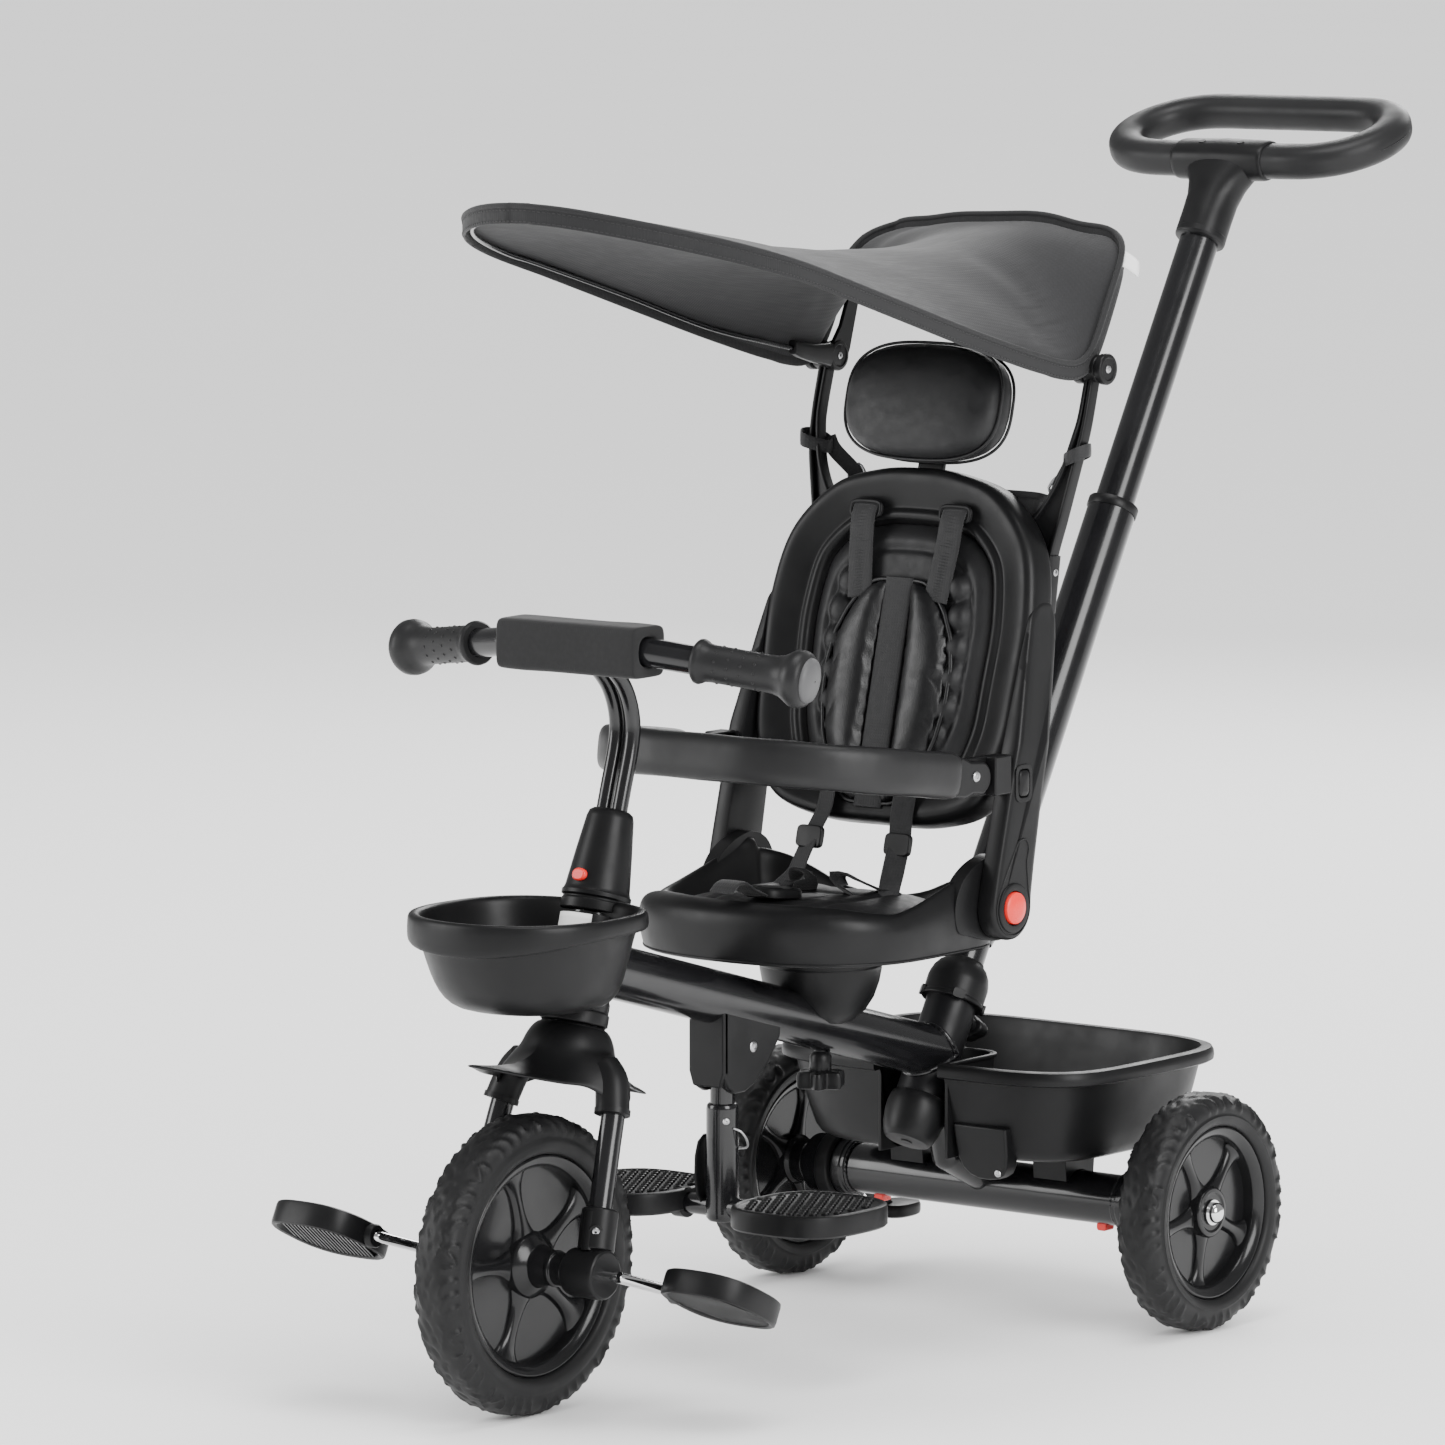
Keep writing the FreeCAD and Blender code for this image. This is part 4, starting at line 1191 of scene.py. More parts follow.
cap = [
    (0, -24), (17.5, -24), (19.4, -23.2), (22, -19), (24.4, -11), (25.8, -2), (26, 6), (25.4, 11),
    (24, 15), (22.2, 16.2), (21.9, 15.2), (21.9, 4), (0, 4),
]
cap_parts = [
    turned(cap, W(0, ROD_Y, ROD_Z), ROD_UP, 64),
    turned(
        [(0, -25), (4.6, -25), (5, -24.6), (5, -23.5), (0, -23.5)], W(0, ROD_Y, ROD_Z), ROD_UP, 24
    ),
]
piece(
    "socket_tube", "frame", "satin",
    *turned([(17, 12), (21.8, 12), (21.8, 104), (17, 104)], W(0, ROD_Y, ROD_Z), ROD_UP, 64),
    sharp=40,
)
piece(
    "socket_cup", "frame", "plastic", *joined(*cap_parts), stands_for=["socket_end_cap"], sharp=40,
    bevel=0.4,
)

collar = [
    (21.7, 102), (26.3, 102), (27, 102.8), (27, 105.4), (26.2, 106.4), (26.4, 120), (25.8, 124),
    (24, 130), (20.6, 135.5), (17.6, 138), (16.6, 140.6), (16.1, 140.6), (16.1, 112), (21.7, 112),
]
parts = [turned(collar, W(0, ROD_Y, ROD_Z), ROD_UP, 72)]
for i in range(4):
    a = math.radians(45 + 90 * i)
    place = lambda u, v, w, a=a: on_rod(105.0 + v, 0) + (
        (
            X * math.cos(a) + ROD_BACK * math.sin(a)
        ) * (25.8 + w) + (ROD_BACK * math.cos(a) - X * math.sin(a)) * u
    ) / 1000
    parts.append(plate(superellipse(5.5, 4.2, 4, 20), place, 0, 2.6))
piece(
    "socket_dome", "frame", "plastic", *joined(*parts), stands_for=["socket_collar"], sharp=38,
    bevel=0.4,
)

knob_place = lambda u, v, w: on_rod(96 + v, w, u)
outline = []
for i in range(72):
    a = 2 * math.pi * i / 72
    r = 10.4 + 1.6 * math.cos(3 * a)
    outline.append((r * math.cos(a), r * math.sin(a)))
knob_rows = []
for scale, w in (
    (0.1, 33.2), (0.82, 33.2), (0.95, 34.2), (1, 36), (1, 43), (0.95, 45.2), (0.84, 46.2),
    (0.3, 46.6), (0.02, 46.6),
):
    knob_rows.append([knob_place(u * scale, v * scale, w) for u, v in outline])
knob_parts = joined(
    grid(knob_rows),
    turned([(0, 0), (3, 0), (3, 11), (6.8, 11), (6.8, 17), (0, 17)], on_rod(96, 17), ROD_BACK, 32),
)
piece(
    "collar_knob_lobed", "collar_knob", "plastic", *knob_parts, stands_for=["collar_knob"], sharp=40
)

# rear beam: tube, end flanges and clamp rings
beam_parts = [
    turned(
        [(0, -146), (21.3, -146), (21.5, -145), (21.5, 145), (21.3, 146), (0, 146)], W(0, 0, 100),
        X, 64,
    )
]
for side in (-1, 1):
    bush = [
        (5.1, 140), (22.5, 140), (24, 140.8), (24, 144), (25, 145), (25, 184), (23.5, 184.8),
        (5.1, 184.8),
    ]
    beam_parts.append(turned([(r, side * a) for r, a in bush], W(0, 0, 100), X, 64))
    beam_parts.append(weld_ring(W(side * 139.5, 0, 100), X, 22, 1.6))
piece(
    "beam_tube", "frame", "paint", *joined(*beam_parts), stands_for=["rear_axle_beam"], sharp=40,
    bevel=0.3,
)
nuts = []
for side in (-1, 1):
    nut = [(0, -2), (8.4, -2), (8.6, -1), (8.6, 2.4), (7.8, 4.6), (5.4, 6.6), (2.6, 7.2), (0, 7.3)]
    nuts.append(turned([(r, side * a) for r, a in nut], W(side * 229, 0, 100), X, 40))
    nuts.append(
        turned(
            [(5.2, side * 0.4), (10.6, side * 0.4), (10.6, side * 1.4), (5.2, side * 1.4)],
            W(side * 227.2, 0, 100), X, 40,
        )
    )
piece("axle_caps", "frame", "chrome", *joined(*nuts), stands_for=["axle_nuts"], sharp=40)


# ---- rear basket ----
def make_rear_basket():
    centre = 8.0
    rings = [
        (2, 2, 139.6), (118, 84, 139.6), (132, 97, 140.2), (138.5, 103, 143.5), (142.5, 107, 150),
        (147, 111.5, 165), (152.5, 117, 188), (156, 120, 204),
    ]
    rings += [
        (158, 122, 209), (164.5, 128.5, 208.6), (166.6, 130.6, 210), (167, 131, 213),
        (166.6, 130.8, 217), (165, 129.4, 220.2), (161.5, 126, 221.4), (157.4, 122, 220.8),
    ]
    rings += [
        (155.8, 120.2, 217.6), (153.4, 117.6, 204), (148.6, 112.6, 182), (143.4, 107.6, 162),
        (139.4, 103.6, 151), (134, 98.4, 145), (122, 88, 142.6), (2, 2, 142.6),
    ]
    rows = tub_rows(rings, centre, 4.4, 4.4, 112)
    obj = piece(
        "rear_basket_moulded", "frame", "plastic", *grid(rows), stands_for=["rear_basket"], sharp=60
    )
    cutter_outline = [(-33, -200), (33, -200), (33, -52)]
    cutter_outline += [
        (
            33 - 14 * (1 - math.cos(math.radians(a))), -52 + 14 * math.sin(math.radians(a))
        ) for a in range(10, 91, 10)
    ]
    cutter_outline += [
        (
            -33 + 14 * (1 - math.cos(math.radians(a))), -52 + 14 * math.sin(math.radians(a))
        ) for a in range(90, 9, -10)
    ]
    cutter_outline += [(-33, -52)]
    place = lambda u, v, w: W(u, v, w)
    verts, faces = plate(cutter_outline, place, 120, 240)
    cutter = bpy.data.objects.new("notch", bpy.data.meshes.new("notch"))
    bm = bmesh.new()
    made = [bm.verts.new(v) for v in verts]
    for f in faces:
        bm.faces.new([made[i] for i in f])
    bmesh.ops.recalc_face_normals(bm, faces=bm.faces)
    bm.to_mesh(cutter.data)
    bm.free()
    SCENE.collection.objects.link(cutter)
    cut = obj.modifiers.new("notch", "BOOLEAN")
    cut.operation = "DIFFERENCE"
    cut.object = cutter
    apply_modifiers(obj)
    bpy.data.objects.remove(cutter)
    finish_mesh(obj, sharp=40)
    # wall round the notch, up to the rim
    wall = [(-36, -112), (-36, -52)] + [
        (
            -36 + 17 * (1 - math.cos(math.radians(a))), -52 + 17 * math.sin(math.radians(a))
        ) for a in range(0, 91, 10)
    ]
    wall += [(-x, y) for x, y in reversed(wall)]
    inner = [(-33, -112), (-33, -52)] + [
        (
            -33 + 14 * (1 - math.cos(math.radians(a))), -52 + 14 * math.sin(math.radians(a))
        ) for a in range(0, 91, 10)
    ]
    inner += [(-x, y) for x, y in reversed(inner)]
    outline = wall + list(reversed(inner))
    rows = [[W(u, v, w) for u, v in outline] for w in (139.8, 218.6, 220.2, 220.6)]
    lip = [W(u * 1.02, v, 219.4) for u, v in wall]
    parts = [grid(rows)]
    parts.append(swept(even(lip, 0.004), superellipse(2.4, 1.8, 3, 16), keep_up=Z))
    # saddle feet on the beam, then the lobe at the corner of the notch
    for side in (-1, 1):
        place = lambda u, v, w: W(side * 75 + w, u, v)
        arc = [
            (
                21.8 * math.sin(math.radians(a)), 100 + 21.8 * math.cos(math.radians(a))
            ) for a in range(-48, 49, 8)
        ]
        outline = [(-22, 141), (-19.5, 114)] + arc + [(19.5, 114), (22, 141)]
        parts.append(plate(outline, place, -17, 17))
    piece("rear_basket_feet", "frame", "plastic", *joined(*parts), sharp=36, bevel=0.6)
    lobe = [
        (39, 170), (39.4, 152), (41, 141), (45, 132.5), (52, 127), (60, 124.4), (70, 124),
        (79, 125.4), (86, 129.4), (90, 136), (92, 146), (93, 170),
    ]
    place = lambda u, v, w: W(u, w - (v - 145) * 0.16, v)
    piece(
        "rear_basket_hook", "frame", "plastic", *plate(lobe, place, -104.5, -88), sharp=50,
        bevel=2.4, segments=4,
    )
    screw("basket_hook_screw", "frame", W(81, -101.9, 131), -Y, 3.2)


def apply_modifiers(obj):
    graph = bpy.context.evaluated_depsgraph_get()
    mesh = bpy.data.meshes.new_from_object(obj.evaluated_get(graph))
    old = obj.data
    obj.modifiers.clear()
    obj.data = mesh
    bpy.data.meshes.remove(old)


make_rear_basket()

# ---- footrest ----
def make_footrest():
    outline = [
        (-391, 304), (-314, 283), (-316, 266), (-330, 248), (-350, 231), (-362, 226), (-376, 226),
        (-385, 231), (-390.5, 242),
    ]
    for side in (-1, 1):
        place = lambda u, v, w: W(side * (10.6 + w), u, v)
        label = "left" if side > 0 else "right"
        piece(
            "bracket_cheek_" + label, "frame", "plastic", *plate(outline, place, 0, 7.4), sharp=36,
            bevel=2.2, segments=4,
        )
        screw("bracket_rivet_" + label, "frame", W(side * 17.6, -352, 262), X * side, 4.6)
    front = [(-18, 301.5), (18, 301.5), (18, 244), (14, 232), (-14, 232), (-18, 244)]
    place = lambda u, v, w: W(u, -391.5 + w, v)
    piece(
        "bracket_front", "frame", "plastic", *plate(front, place, 0, 7),
        stands_for=["footrest_bracket"], sharp=36, bevel=1.6, segments=3,
    )
    piece(
        "bracket_pin", "frame", "zinc", *straight(W(-10.5, -370, 250), W(10.5, -370, 250), 3.9),
        sharp=40,
    )
    sleeve = [
        (10.1, 0), (13.2, 0), (13.6, 0.8), (13.6, 62), (13.2, 63), (13.2, 86), (12.6, 89),
        (11.4, 90.4), (10.1, 90.6),
    ]
    parts = [turned(sleeve, W(0, -370, 126), Z, 48)]
    parts.append(straight(W(-86, -370, 131), W(86, -370, 131), 8.6, 40))
    parts.append(turned([(0, -7), (11, -7), (13.4, -4), (13.4, 4), (0, 4)], W(0, -370, 127), Z, 48))
    piece(
        "footrest_tee", "footrest", "paint", *joined(*parts), stands_for=["footrest_sleeve"],
        sharp=40, bevel=0.3,
    )
    screw("sleeve_screw", "footrest", W(9.8, -377.5, 203), Vector((0.8, -0.6, 0)), 3.0)
    clip = [
        W(13, -372, 197), W(18, -368, 194), W(20.5, -364, 187), W(19, -362, 181), W(13.4, -366, 180)
    ]
    piece("wire_clip", "footrest", "zinc", *tube(clip, 1.0, 2, 10), sharp=60)
    lever = []
    for f, wide, out in (
        (0, 4.5, 0.0), (0.1, 8, 3.2), (0.3, 10, 4.6), (0.6, 10.5, 4.8), (0.85, 9, 4.0), (1, 5, 1.2)
    ):
        z = 190 - 58 * f
        lever.append([W(-14.2 - out + b, -372 + a, z) for a, b in superellipse(wide, 1.6, 3, 24)])
    piece("lock_lever", "footrest", "plastic", *grid(lever), sharp=50)
    for side, node in ((1, "foot_plate_left"), (-1, "foot_plate_right")):
        label = "left" if side > 0 else "right"
        rows = []
        base = superellipse(1, 1, 2.9, 64)
        for a, b, z in (
            (51, 56, 126.2), (53.5, 58.5, 124.7), (55, 60, 126.4), (55, 60, 139), (54.4, 59.4, 142),
            (52.4, 57.4, 143.2), (50.6, 55.6, 143), (49.6, 54.6, 142), (48.6, 53.6, 141.8),
            (30, 34, 141.8), (1, 1, 141.8),
        ):
            rows.append([W(side * 89 + u * a, -370 + v * b, z) for u, v in base])
        inside = [
            [
                W(side * 89 + u * a, -370 + v * b, z) for u, v in base
            ] for a, b, z in ((1, 1, 136), (49, 54, 136), (51, 56, 126.2))
        ]
        parts = [grid(inside + rows)]
        for i in range(-4, 5):
            for j in range(-5, 6):
                x, y = i * 10.6 + (5.3 if j % 2 else 0), j * 9.2
                if abs(x / 46.0) ** 2.9 + abs(y / 51.0) ** 2.9 > 1:
                    continue
                stud = [
                    (0, -0.5), (3.4, -0.5), (3.4, 0.8), (3.0, 1.9), (2.2, 2.2), (1.6, 1.5), (0, 1.4)
                ]
                parts.append(turned(stud, W(side * 89 + x, -370 + y, 142), Z, 14))
        for k in range(-3, 4):
            rib = plate(
                [(k * 14 - 1, -44), (k * 14 + 1, -44), (k * 14 + 1, 44), (k * 14 - 1, 44)],
                lambda u, v, w: W(side * 89 + u, -370 + v, w), 128, 136.5,
            )
            parts.append(rib)
        parts.append(straight(W(side * 34.5, -370, 131), W(side * 47, -370, 131), 12.5, 32))
        piece(
            "foot_plate_studded_" + label, "footrest", "plastic", *joined(*parts),
            stands_for=[node], sharp=40,
        )


make_footrest()

# ---- seat base bowl and star knob ----
bowl = [
    (0, 264.3), (14, 265), (27, 269.5), (37, 278), (44, 289), (48.5, 302), (50.4, 312),
    (50.6, 315.4), (52.6, 316.4), (53, 318), (53, 333), (52, 335.2), (0, 335.2),
]
piece(
    "seat_bowl", "frame", "plastic", *turned(bowl, W(0, -239, 0), Z, 96), stands_for=["seat_base"],
    sharp=50, bevel=0.5,
)
star = []
for i in range(96):
    a = 2 * math.pi * i / 96
    r = 17.6 + 3.6 * math.cos(6 * a)
    star.append((r * math.cos(a), r * math.sin(a)))
star_rows = []
for scale, z in (
    (0.05, 212.2), (0.8, 212.2), (0.95, 213.2), (1, 215.4), (1, 223.5), (0.95, 226), (0.8, 227),
    (0.45, 227.6), (0.42, 236), (0.05, 236),
):
    star_rows.append([W(u * scale, -239 + v * scale, z) for u, v in star])
star_parts = joined(
    grid(star_rows),
    turned(
        [(0, 0), (8.6, 0), (9, 1), (9, 12), (7, 15), (5, 16), (5, 56), (0, 56)], W(0, -239, 227), Z,
        32,
    ),
)
piece("star_knob", "seat_knob", "plastic", *star_parts, stands_for=["seat_knob"], sharp=40)

# ---- brakes ----
for side, label in ((1, "left"), (-1, "right")):
    parts = [
        turned(
            [
                (25.1, side * 154), (29, side * 154), (30, side * 155), (30, side * 167),
                (29, side * 168), (25.1, side * 168),
            ],
            W(0, 0, 100), X, 64,
        )
    ]
    arm = [(17, 86), (30, 79), (52, 58), (62, 50), (72, 55), (60, 68), (40, 90), (26, 104)]
    parts.append(plate(arm, lambda u, v, w: W(side * w, u, v), 156, 166))
    piece(
        "brake_arm_" + label, "brake_" + label, "plastic", *joined(*parts),
        stands_for=["brake_" + label], sharp=38, bevel=0.8,
    )
    rows = []
    for scale, z in (
        (0.05, 46), (0.84, 46), (0.96, 47.4), (1, 50), (1, 55), (0.95, 57.4), (0.82, 58), (0.05, 58)
    ):
        rows.append(
            [
                W(
                    side * (158 + u * scale), 76 + v * scale, z + 0.0
                ) for u, v in superellipse(18, 22, 2.8, 48)
            ]
        )
    piece("brake_pedal_" + label, "brake_" + label, "plastic", *grid(rows), sharp=40)
    tag = plate(
        superellipse(5, 3.6, 4, 20), lambda u, v, w: W(side * 117 + u, 2 + w, 76.4 + v), -6, 6
    )
    piece("brake_tag_" + label, "frame", "red", *tag, sharp=38, bevel=0.8)

# ---- seat pan ----
SEAT_Y = -264.0


def pan_rim(y):
    """Height of the pan's rim: a fat roll in front, low at the thighs and high at the hinges."""
    ys = [-400, -372, -345, -315, -300, -272, -241, -218, -197, -177, -158, -150]
    zs = [382, 381, 379, 374, 372.5, 378, 386, 392.5, 398.5, 406, 401, 394]
    return float(np.interp(y, ys, zs))


def pan_ring(scale_x, scale_y, count=144):
    ring = []
    for i in range(count):
        t = 2 * math.pi * i / count
        c, s = math.cos(t), math.sin(t)
        n = 6.0 if s > 0 else 2.4
        blend_n = n if abs(s) > 0.25 else 2.4 + (n - 2.4) * max(
            0.0, (s + 0.05) / 0.3
        ) if s > -0.05 else n
        ring.append(
            (
                math.copysign(abs(c) ** (2 / blend_n), c) * scale_x,
                math.copysign(abs(s) ** (2 / blend_n), s) * scale_y,
            )
        )
    return ring


def make_pan():
    base = pan_ring(132, 118)
    rows = []
    # share of the half width, share of the rim's height above the floor of the pan, fixed height
    for share, lift, fixed in (
        (0.02, 0, 337.2), (0.5, 0, 337), (0.8, 0, 336.4), (0.9, 0, 333.6), (0.945, 0, 332.4),
        (0.965, 0, 332.6), (0.972, 0, 334.4), (0.992, 0, 343), (1.0, 0.1, 354),
        (1.0, 0.34, 354), (0.992, 0.6, 354), (0.972, 0.83, 354), (0.945, 0.95, 354),
        (0.915, 1.0, 354), (0.885, 0.985, 354), (0.858, 0.9, 354), (0.835, 0.72, 354),
        (0.815, 0.5, 354), (0.79, 0.26, 354), (0.74, 0.08, 354), (0.66, 0, 352), (0.5, 0, 349.5),
        (0.3, 0, 348.6), (0.02, 0, 348.4),
    ):
        row = []
        for x, y in base:
            front = max(0.0, min(1.0, (-y - 30) / 70))
            s = share
            if 0.66 < share < 0.98 and lift > 0:
                s = 0.98 - (0.98 - share) * (1.0 + 1.0 * front - 0.35 * (1 - front))
            px, py = x * s, SEAT_Y + y * s
            rim = pan_rim(SEAT_Y + y)
            if y > 95:
                rim = float(
                    np.interp(
                        abs(x), [0, 25, 45, 60, 75, 100, 125], [361, 363, 369, 375, 381, 390, 397]
                    )
                )
            z = fixed + (rim - 354) * lift if lift else fixed
            row.append(W(px, py, z))
        rows.append(row)
    obj = piece(
        "seat_pan_moulded", "seat", "plastic", *grid(rows), stands_for=["seat_pan"], sharp=75
    )
    add_subdivision(obj, 1)
    # hinge cheeks beside the arms, the parting line and the pivot under the pan
    parts = []
    for side in (-1, 1):
        cheek = [
            (-228, 352), (-232, 372), (-224, 390), (-210, 401), (-194, 407.5), (-177, 410),
            (-160, 404), (-150, 392), (-146.5, 376), (-148, 358), (-156, 345), (-170, 339),
            (-190, 341), (-210, 346),
        ]
        outline = [
            (p.x, p.y) for p in curve_through([Vector((a, b, 0)) for a, b in cheek], 70, True)
        ]
        parts.append(plate(outline, lambda u, v, w: W(side * w, u, v), 119, 132.4))
        parts.append(
            straight(W(side * 130, HINGE_Y, HINGE_Z), W(side * 140.8, HINGE_Y, HINGE_Z), 8.9, 32)
        )
    piece("seat_cheeks", "seat", "plastic", *joined(*parts), sharp=40, bevel=2.2, segments=3)
    seam = [W(x * 0.972, SEAT_Y + y * 0.972, 334.6) for x, y in base]
    piece(
        "seat_parting_line", "seat", "plastic",
        *swept(seam, superellipse(0.9, 1.1, 2, 8), closed=True, keep_up=Z), sharp=60,
    )
    piece(
        "seat_pivot", "seat", "plastic",
        *turned([(0, 306), (17.4, 306), (18, 307), (18, 338), (0, 338)], W(0, -239, 0), Z, 48),
        sharp=40,
    )


make_pan()


# ---- padding: cloth simulation ----
def inflate(obj, cap, voxel=0.005, pressure=4.0, frames=20, mass=0.3):
    """Fills a closed form like a stuffed cover: remesh, blow up as cloth, limit the movement."""
    remesh = obj.modifiers.new("remesh", "REMESH")
    remesh.mode = "VOXEL"
    remesh.voxel_size = voxel
    apply_modifiers(obj)
    before = np.array([v.co[:] for v in obj.data.vertices])
    cloth = obj.modifiers.new("cloth", "CLOTH")
    cloth.settings.quality = 5
    cloth.settings.mass = mass
    cloth.settings.use_pressure = True
    cloth.settings.uniform_pressure_force = pressure
    cloth.settings.tension_stiffness = 12
    cloth.settings.compression_stiffness = 12
    cloth.settings.bending_stiffness = 0.4
    cloth.settings.effector_weights.gravity = 0
    cloth.point_cache.frame_start = 1
    cloth.point_cache.frame_end = frames
    for f in range(1, frames + 1):
        SCENE.frame_set(f)
    graph = bpy.context.evaluated_depsgraph_get()
    after = np.array([v.co[:] for v in obj.evaluated_get(graph).data.vertices])
    obj.modifiers.clear()
    move = after - before
    length = np.linalg.norm(move, axis=1, keepdims=True)
    limit = cap * np.tanh(length / cap)
    moved = before + move * np.where(length > 1e-9, limit / np.maximum(length, 1e-9), 0)
    obj.data.vertices.foreach_set("co", moved.astype(np.float32).ravel())
    obj.data.update()
    SCENE.frame_set(1)
    return obj


def soften(obj, levels=1, smooth=0):
    if smooth:
        ease = obj.modifiers.new("ease", "SMOOTH")
        ease.factor = 0.5
        ease.iterations = smooth
    sub = obj.modifiers.new("subdivision", "SUBSURF")
    sub.levels = sub.render_levels = levels
    obj.data.shade_smooth()
    return obj


def make_cushion():
    rows = []
    base = pan_ring(104, 86, 72)
    for share, z in (
        (0.02, 349.8), (0.8, 350.2), (0.93, 352.5), (0.985, 357), (1.0, 361), (0.975, 365.5),
        (0.9, 368.6), (0.7, 370.5), (0.4, 371), (0.02, 371),
    ):
        rows.append(
            [
                W(
                    x * share, SEAT_Y + 2 + y * share, z + (2.5 if y < -40 else 0) * share
                ) for x, y in base
            ]
        )
    obj = piece("seat_cushion_padded", None, "smooth_leather", *grid(rows), sharp=80)
    inflate(obj, 0.006, 0.005)
    # two sewn channels across and a dip in the middle where the child sits
    co = np.array([v.co[:] for v in obj.data.vertices])
    x, y, z = co[:, 0] * 1000, co[:, 1] * 1000 - REAR_AXLE_Y, co[:, 2] * 1000
    top = np.clip((z - 362) / 6, 0, 1)
    groove = np.zeros_like(x)
    for line in (-52, 52):
        groove += np.exp(-((x - line) / 2.4) ** 2)
    groove += np.exp(-((y + 232) / 2.4) ** 2) * (np.abs(x) < 52)
    dip = np.exp(-(x / 60) ** 2 - ((y + 258) / 45) ** 2)
    co[:, 2] -= (groove * 3.0 + dip * 3.5) * top / 1000
    obj.data.vertices.foreach_set("co", co.astype(np.float32).ravel())
    obj.data.update()
    soften(obj, 1)
    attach(obj, "seat")
    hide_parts("seat_cushion")
    piping = [W(x * 0.99, SEAT_Y + 2 + y * 0.99, 363.5 + (2.5 if y < -40 else 0)) for x, y in base]
    piece(
        "seat_cushion_piping", "seat", "smooth_leather",
        *swept(even(piping, 0.004, True), circle(1.5, 10), closed=True), sharp=60,
    )


make_cushion()

# ---- backrest shell, its pads and straps ----
EGG = [
    (0, 58), (60, 60), (108, 78), (131, 126), (136, 180), (137, 240), (124, 298), (86, 339),
    (42, 353.5), (0, 356.5),
]
EGG_RING = [
    (p.x, p.y) for p in curve_through(
        [Vector((x, up, 0)) for x, up in EGG + [(-x, up) for x, up in reversed(EGG[1:-1])]], 180,
        True,
    )
]


def egg(inset):
    """The shell's outline moved inwards by inset millimetres."""
    pts = EGG_RING
    n = len(pts)
    result = []
    for i, (x, up) in enumerate(pts):
        ax, aup = pts[i - 2]
        bx, bup = pts[(i + 2) % n]
        tx, tup = bx - ax, bup - aup
        size = math.hypot(tx, tup)
        nx, nup = -tup / size, tx / size
        result.append((x + nx * inset, up + nup * inset))
    return result


def make_shell():
    rows = []
    for d, out in (
        (128, 6), (60, 8), (14, 11.5), (9, 14.5), (4, 16), (1, 14.5), (0, 11), (0, 2), (0.2, -7),
        (1.6, -12), (5, -15.2), (9, -16), (16, -14.6), (25, -11), (33, -7.6),
        (35, -7.2), (36.5, -8.8), (39.5, -10.4), (43, -9.8), (45, -7.2), (46.5, -2), (50, 0.5),
        (60, 2), (128, 3),
    ):
        ring = []
        for x, up in egg(min(d, 60)):
            if d > 60:
                x, up = x * 0.02, 205 + (up - 205) * 0.35
            ring.append(on_back(x, up, out))
        rows.append(ring)
    obj = piece(
        "backrest_moulded", "backrest", "plastic", *grid(rows), stands_for=["backrest_shell"],
        sharp=75,
    )
    add_subdivision(obj, 1)
    rib_parts = []
    for x in (-60, -30, 0, 30, 60):
        rib = [(x - 1.4, 100), (x + 1.4, 100), (x + 1.4, 155), (x - 1.4, 155)]
        rib_parts.append(plate(rib, on_back, 8, 15))
    for up in (108, 148):
        rib_parts.append(
            plate(
                [(-84, up - 1.4), (84, up - 1.4), (84, up + 1.4), (-84, up + 1.4)], on_back, 8, 15
            )
        )
    rib_parts.append(
        plate(superellipse(22, 9, 4, 32), lambda u, v, w: on_back(u, 338 + v, w), 10, 19)
    )
    piece("backrest_ribs", "backrest", "plastic", *joined(*rib_parts), sharp=38, bevel=0.6)
    slots, holes = [], []
    for side in (-1, 1):
        slot = [(u + side * 46, 318 + v) for u, v in superellipse(15, 6.5, 4, 32)]
        slots.append(
            swept(
                [on_back(u, up, -15.6) for u, up in slot], superellipse(1.8, 1.3, 2, 10),
                closed=True, keep_up=BACK_OUT,
            )
        )
        holes.append(plate(slot, on_back, -15.9, -12))
    piece("strap_slots", "backrest", "plastic", *joined(*slots), sharp=50)
    piece("strap_slot_openings", "backrest", "velour", *joined(*holes), sharp=50)


make_shell()


def make_back_pad():
    """Vacuum-formed pad: a flat middle, a sunk channel and a row of tufts along each side."""
    ring = egg(47)
    rows = []
    steps = 34
    for k in range(steps + 1):
        share = 1 - k / steps
        row = []
        for x, up in ring:
            px, pup = x * share, 200 + (up - 200) * share
            edge = 1 - share
            out = -2.5 - 7.5 * math.sin(min(1, edge / 0.16) * math.pi / 2)
            out += 3.0 * math.exp(
                -((edge - 0.2) / 0.025) ** 2
            ) + 2.0 * math.exp(-((edge - 0.46) / 0.03) ** 2)
            row.append((px, pup, out))
        rows.append(row)
    tufts = []
    band = [(x * 0.69, 200 + (up - 200) * 0.74) for x, up in ring]
    line = even([Vector((x, up, 0)) / 1000 for x, up in band], 0.0262, True)
    for p in line:
        if p.y * 1000 > 268 and abs(p.x) * 1000 < 46:
            continue
        tufts.append((p.x * 1000, p.y * 1000))
    result = []
    for row in rows:
        made = []
        for x, up, out in row:
            lift = 0.0
            for tx, tup in tufts:
                d2 = ((x - tx) ** 2 + (up - tup) ** 2) / 12.4 ** 2
                if d2 < 1:
                    lift = max(lift, (1 - d2) ** 0.62 * 7.5)
            made.append(on_back(x, up, out - lift))
        result.append(made)
    obj = piece(
        "back_pad_tufted", "backrest", "smooth_leather",
        *grid([[on_back(x * 0.985, 200 + (up - 200) * 0.985, 0) for x, up in ring]] + result),
        stands_for=["back_pad"], sharp=80,
    )
    add_subdivision(obj, 2)


make_back_pad()


def leaf_half(up):
    """Half width of the leaf-shaped pad: widest a little below the middle, blunt at the top."""
    ups = [72, 80, 100, 130, 160, 190, 215, 235, 248, 256, 260]
    halves = [16, 30, 45, 57, 62.5, 63, 58.5, 49, 39, 29, 20]
    return float(np.interp(up, ups, halves))


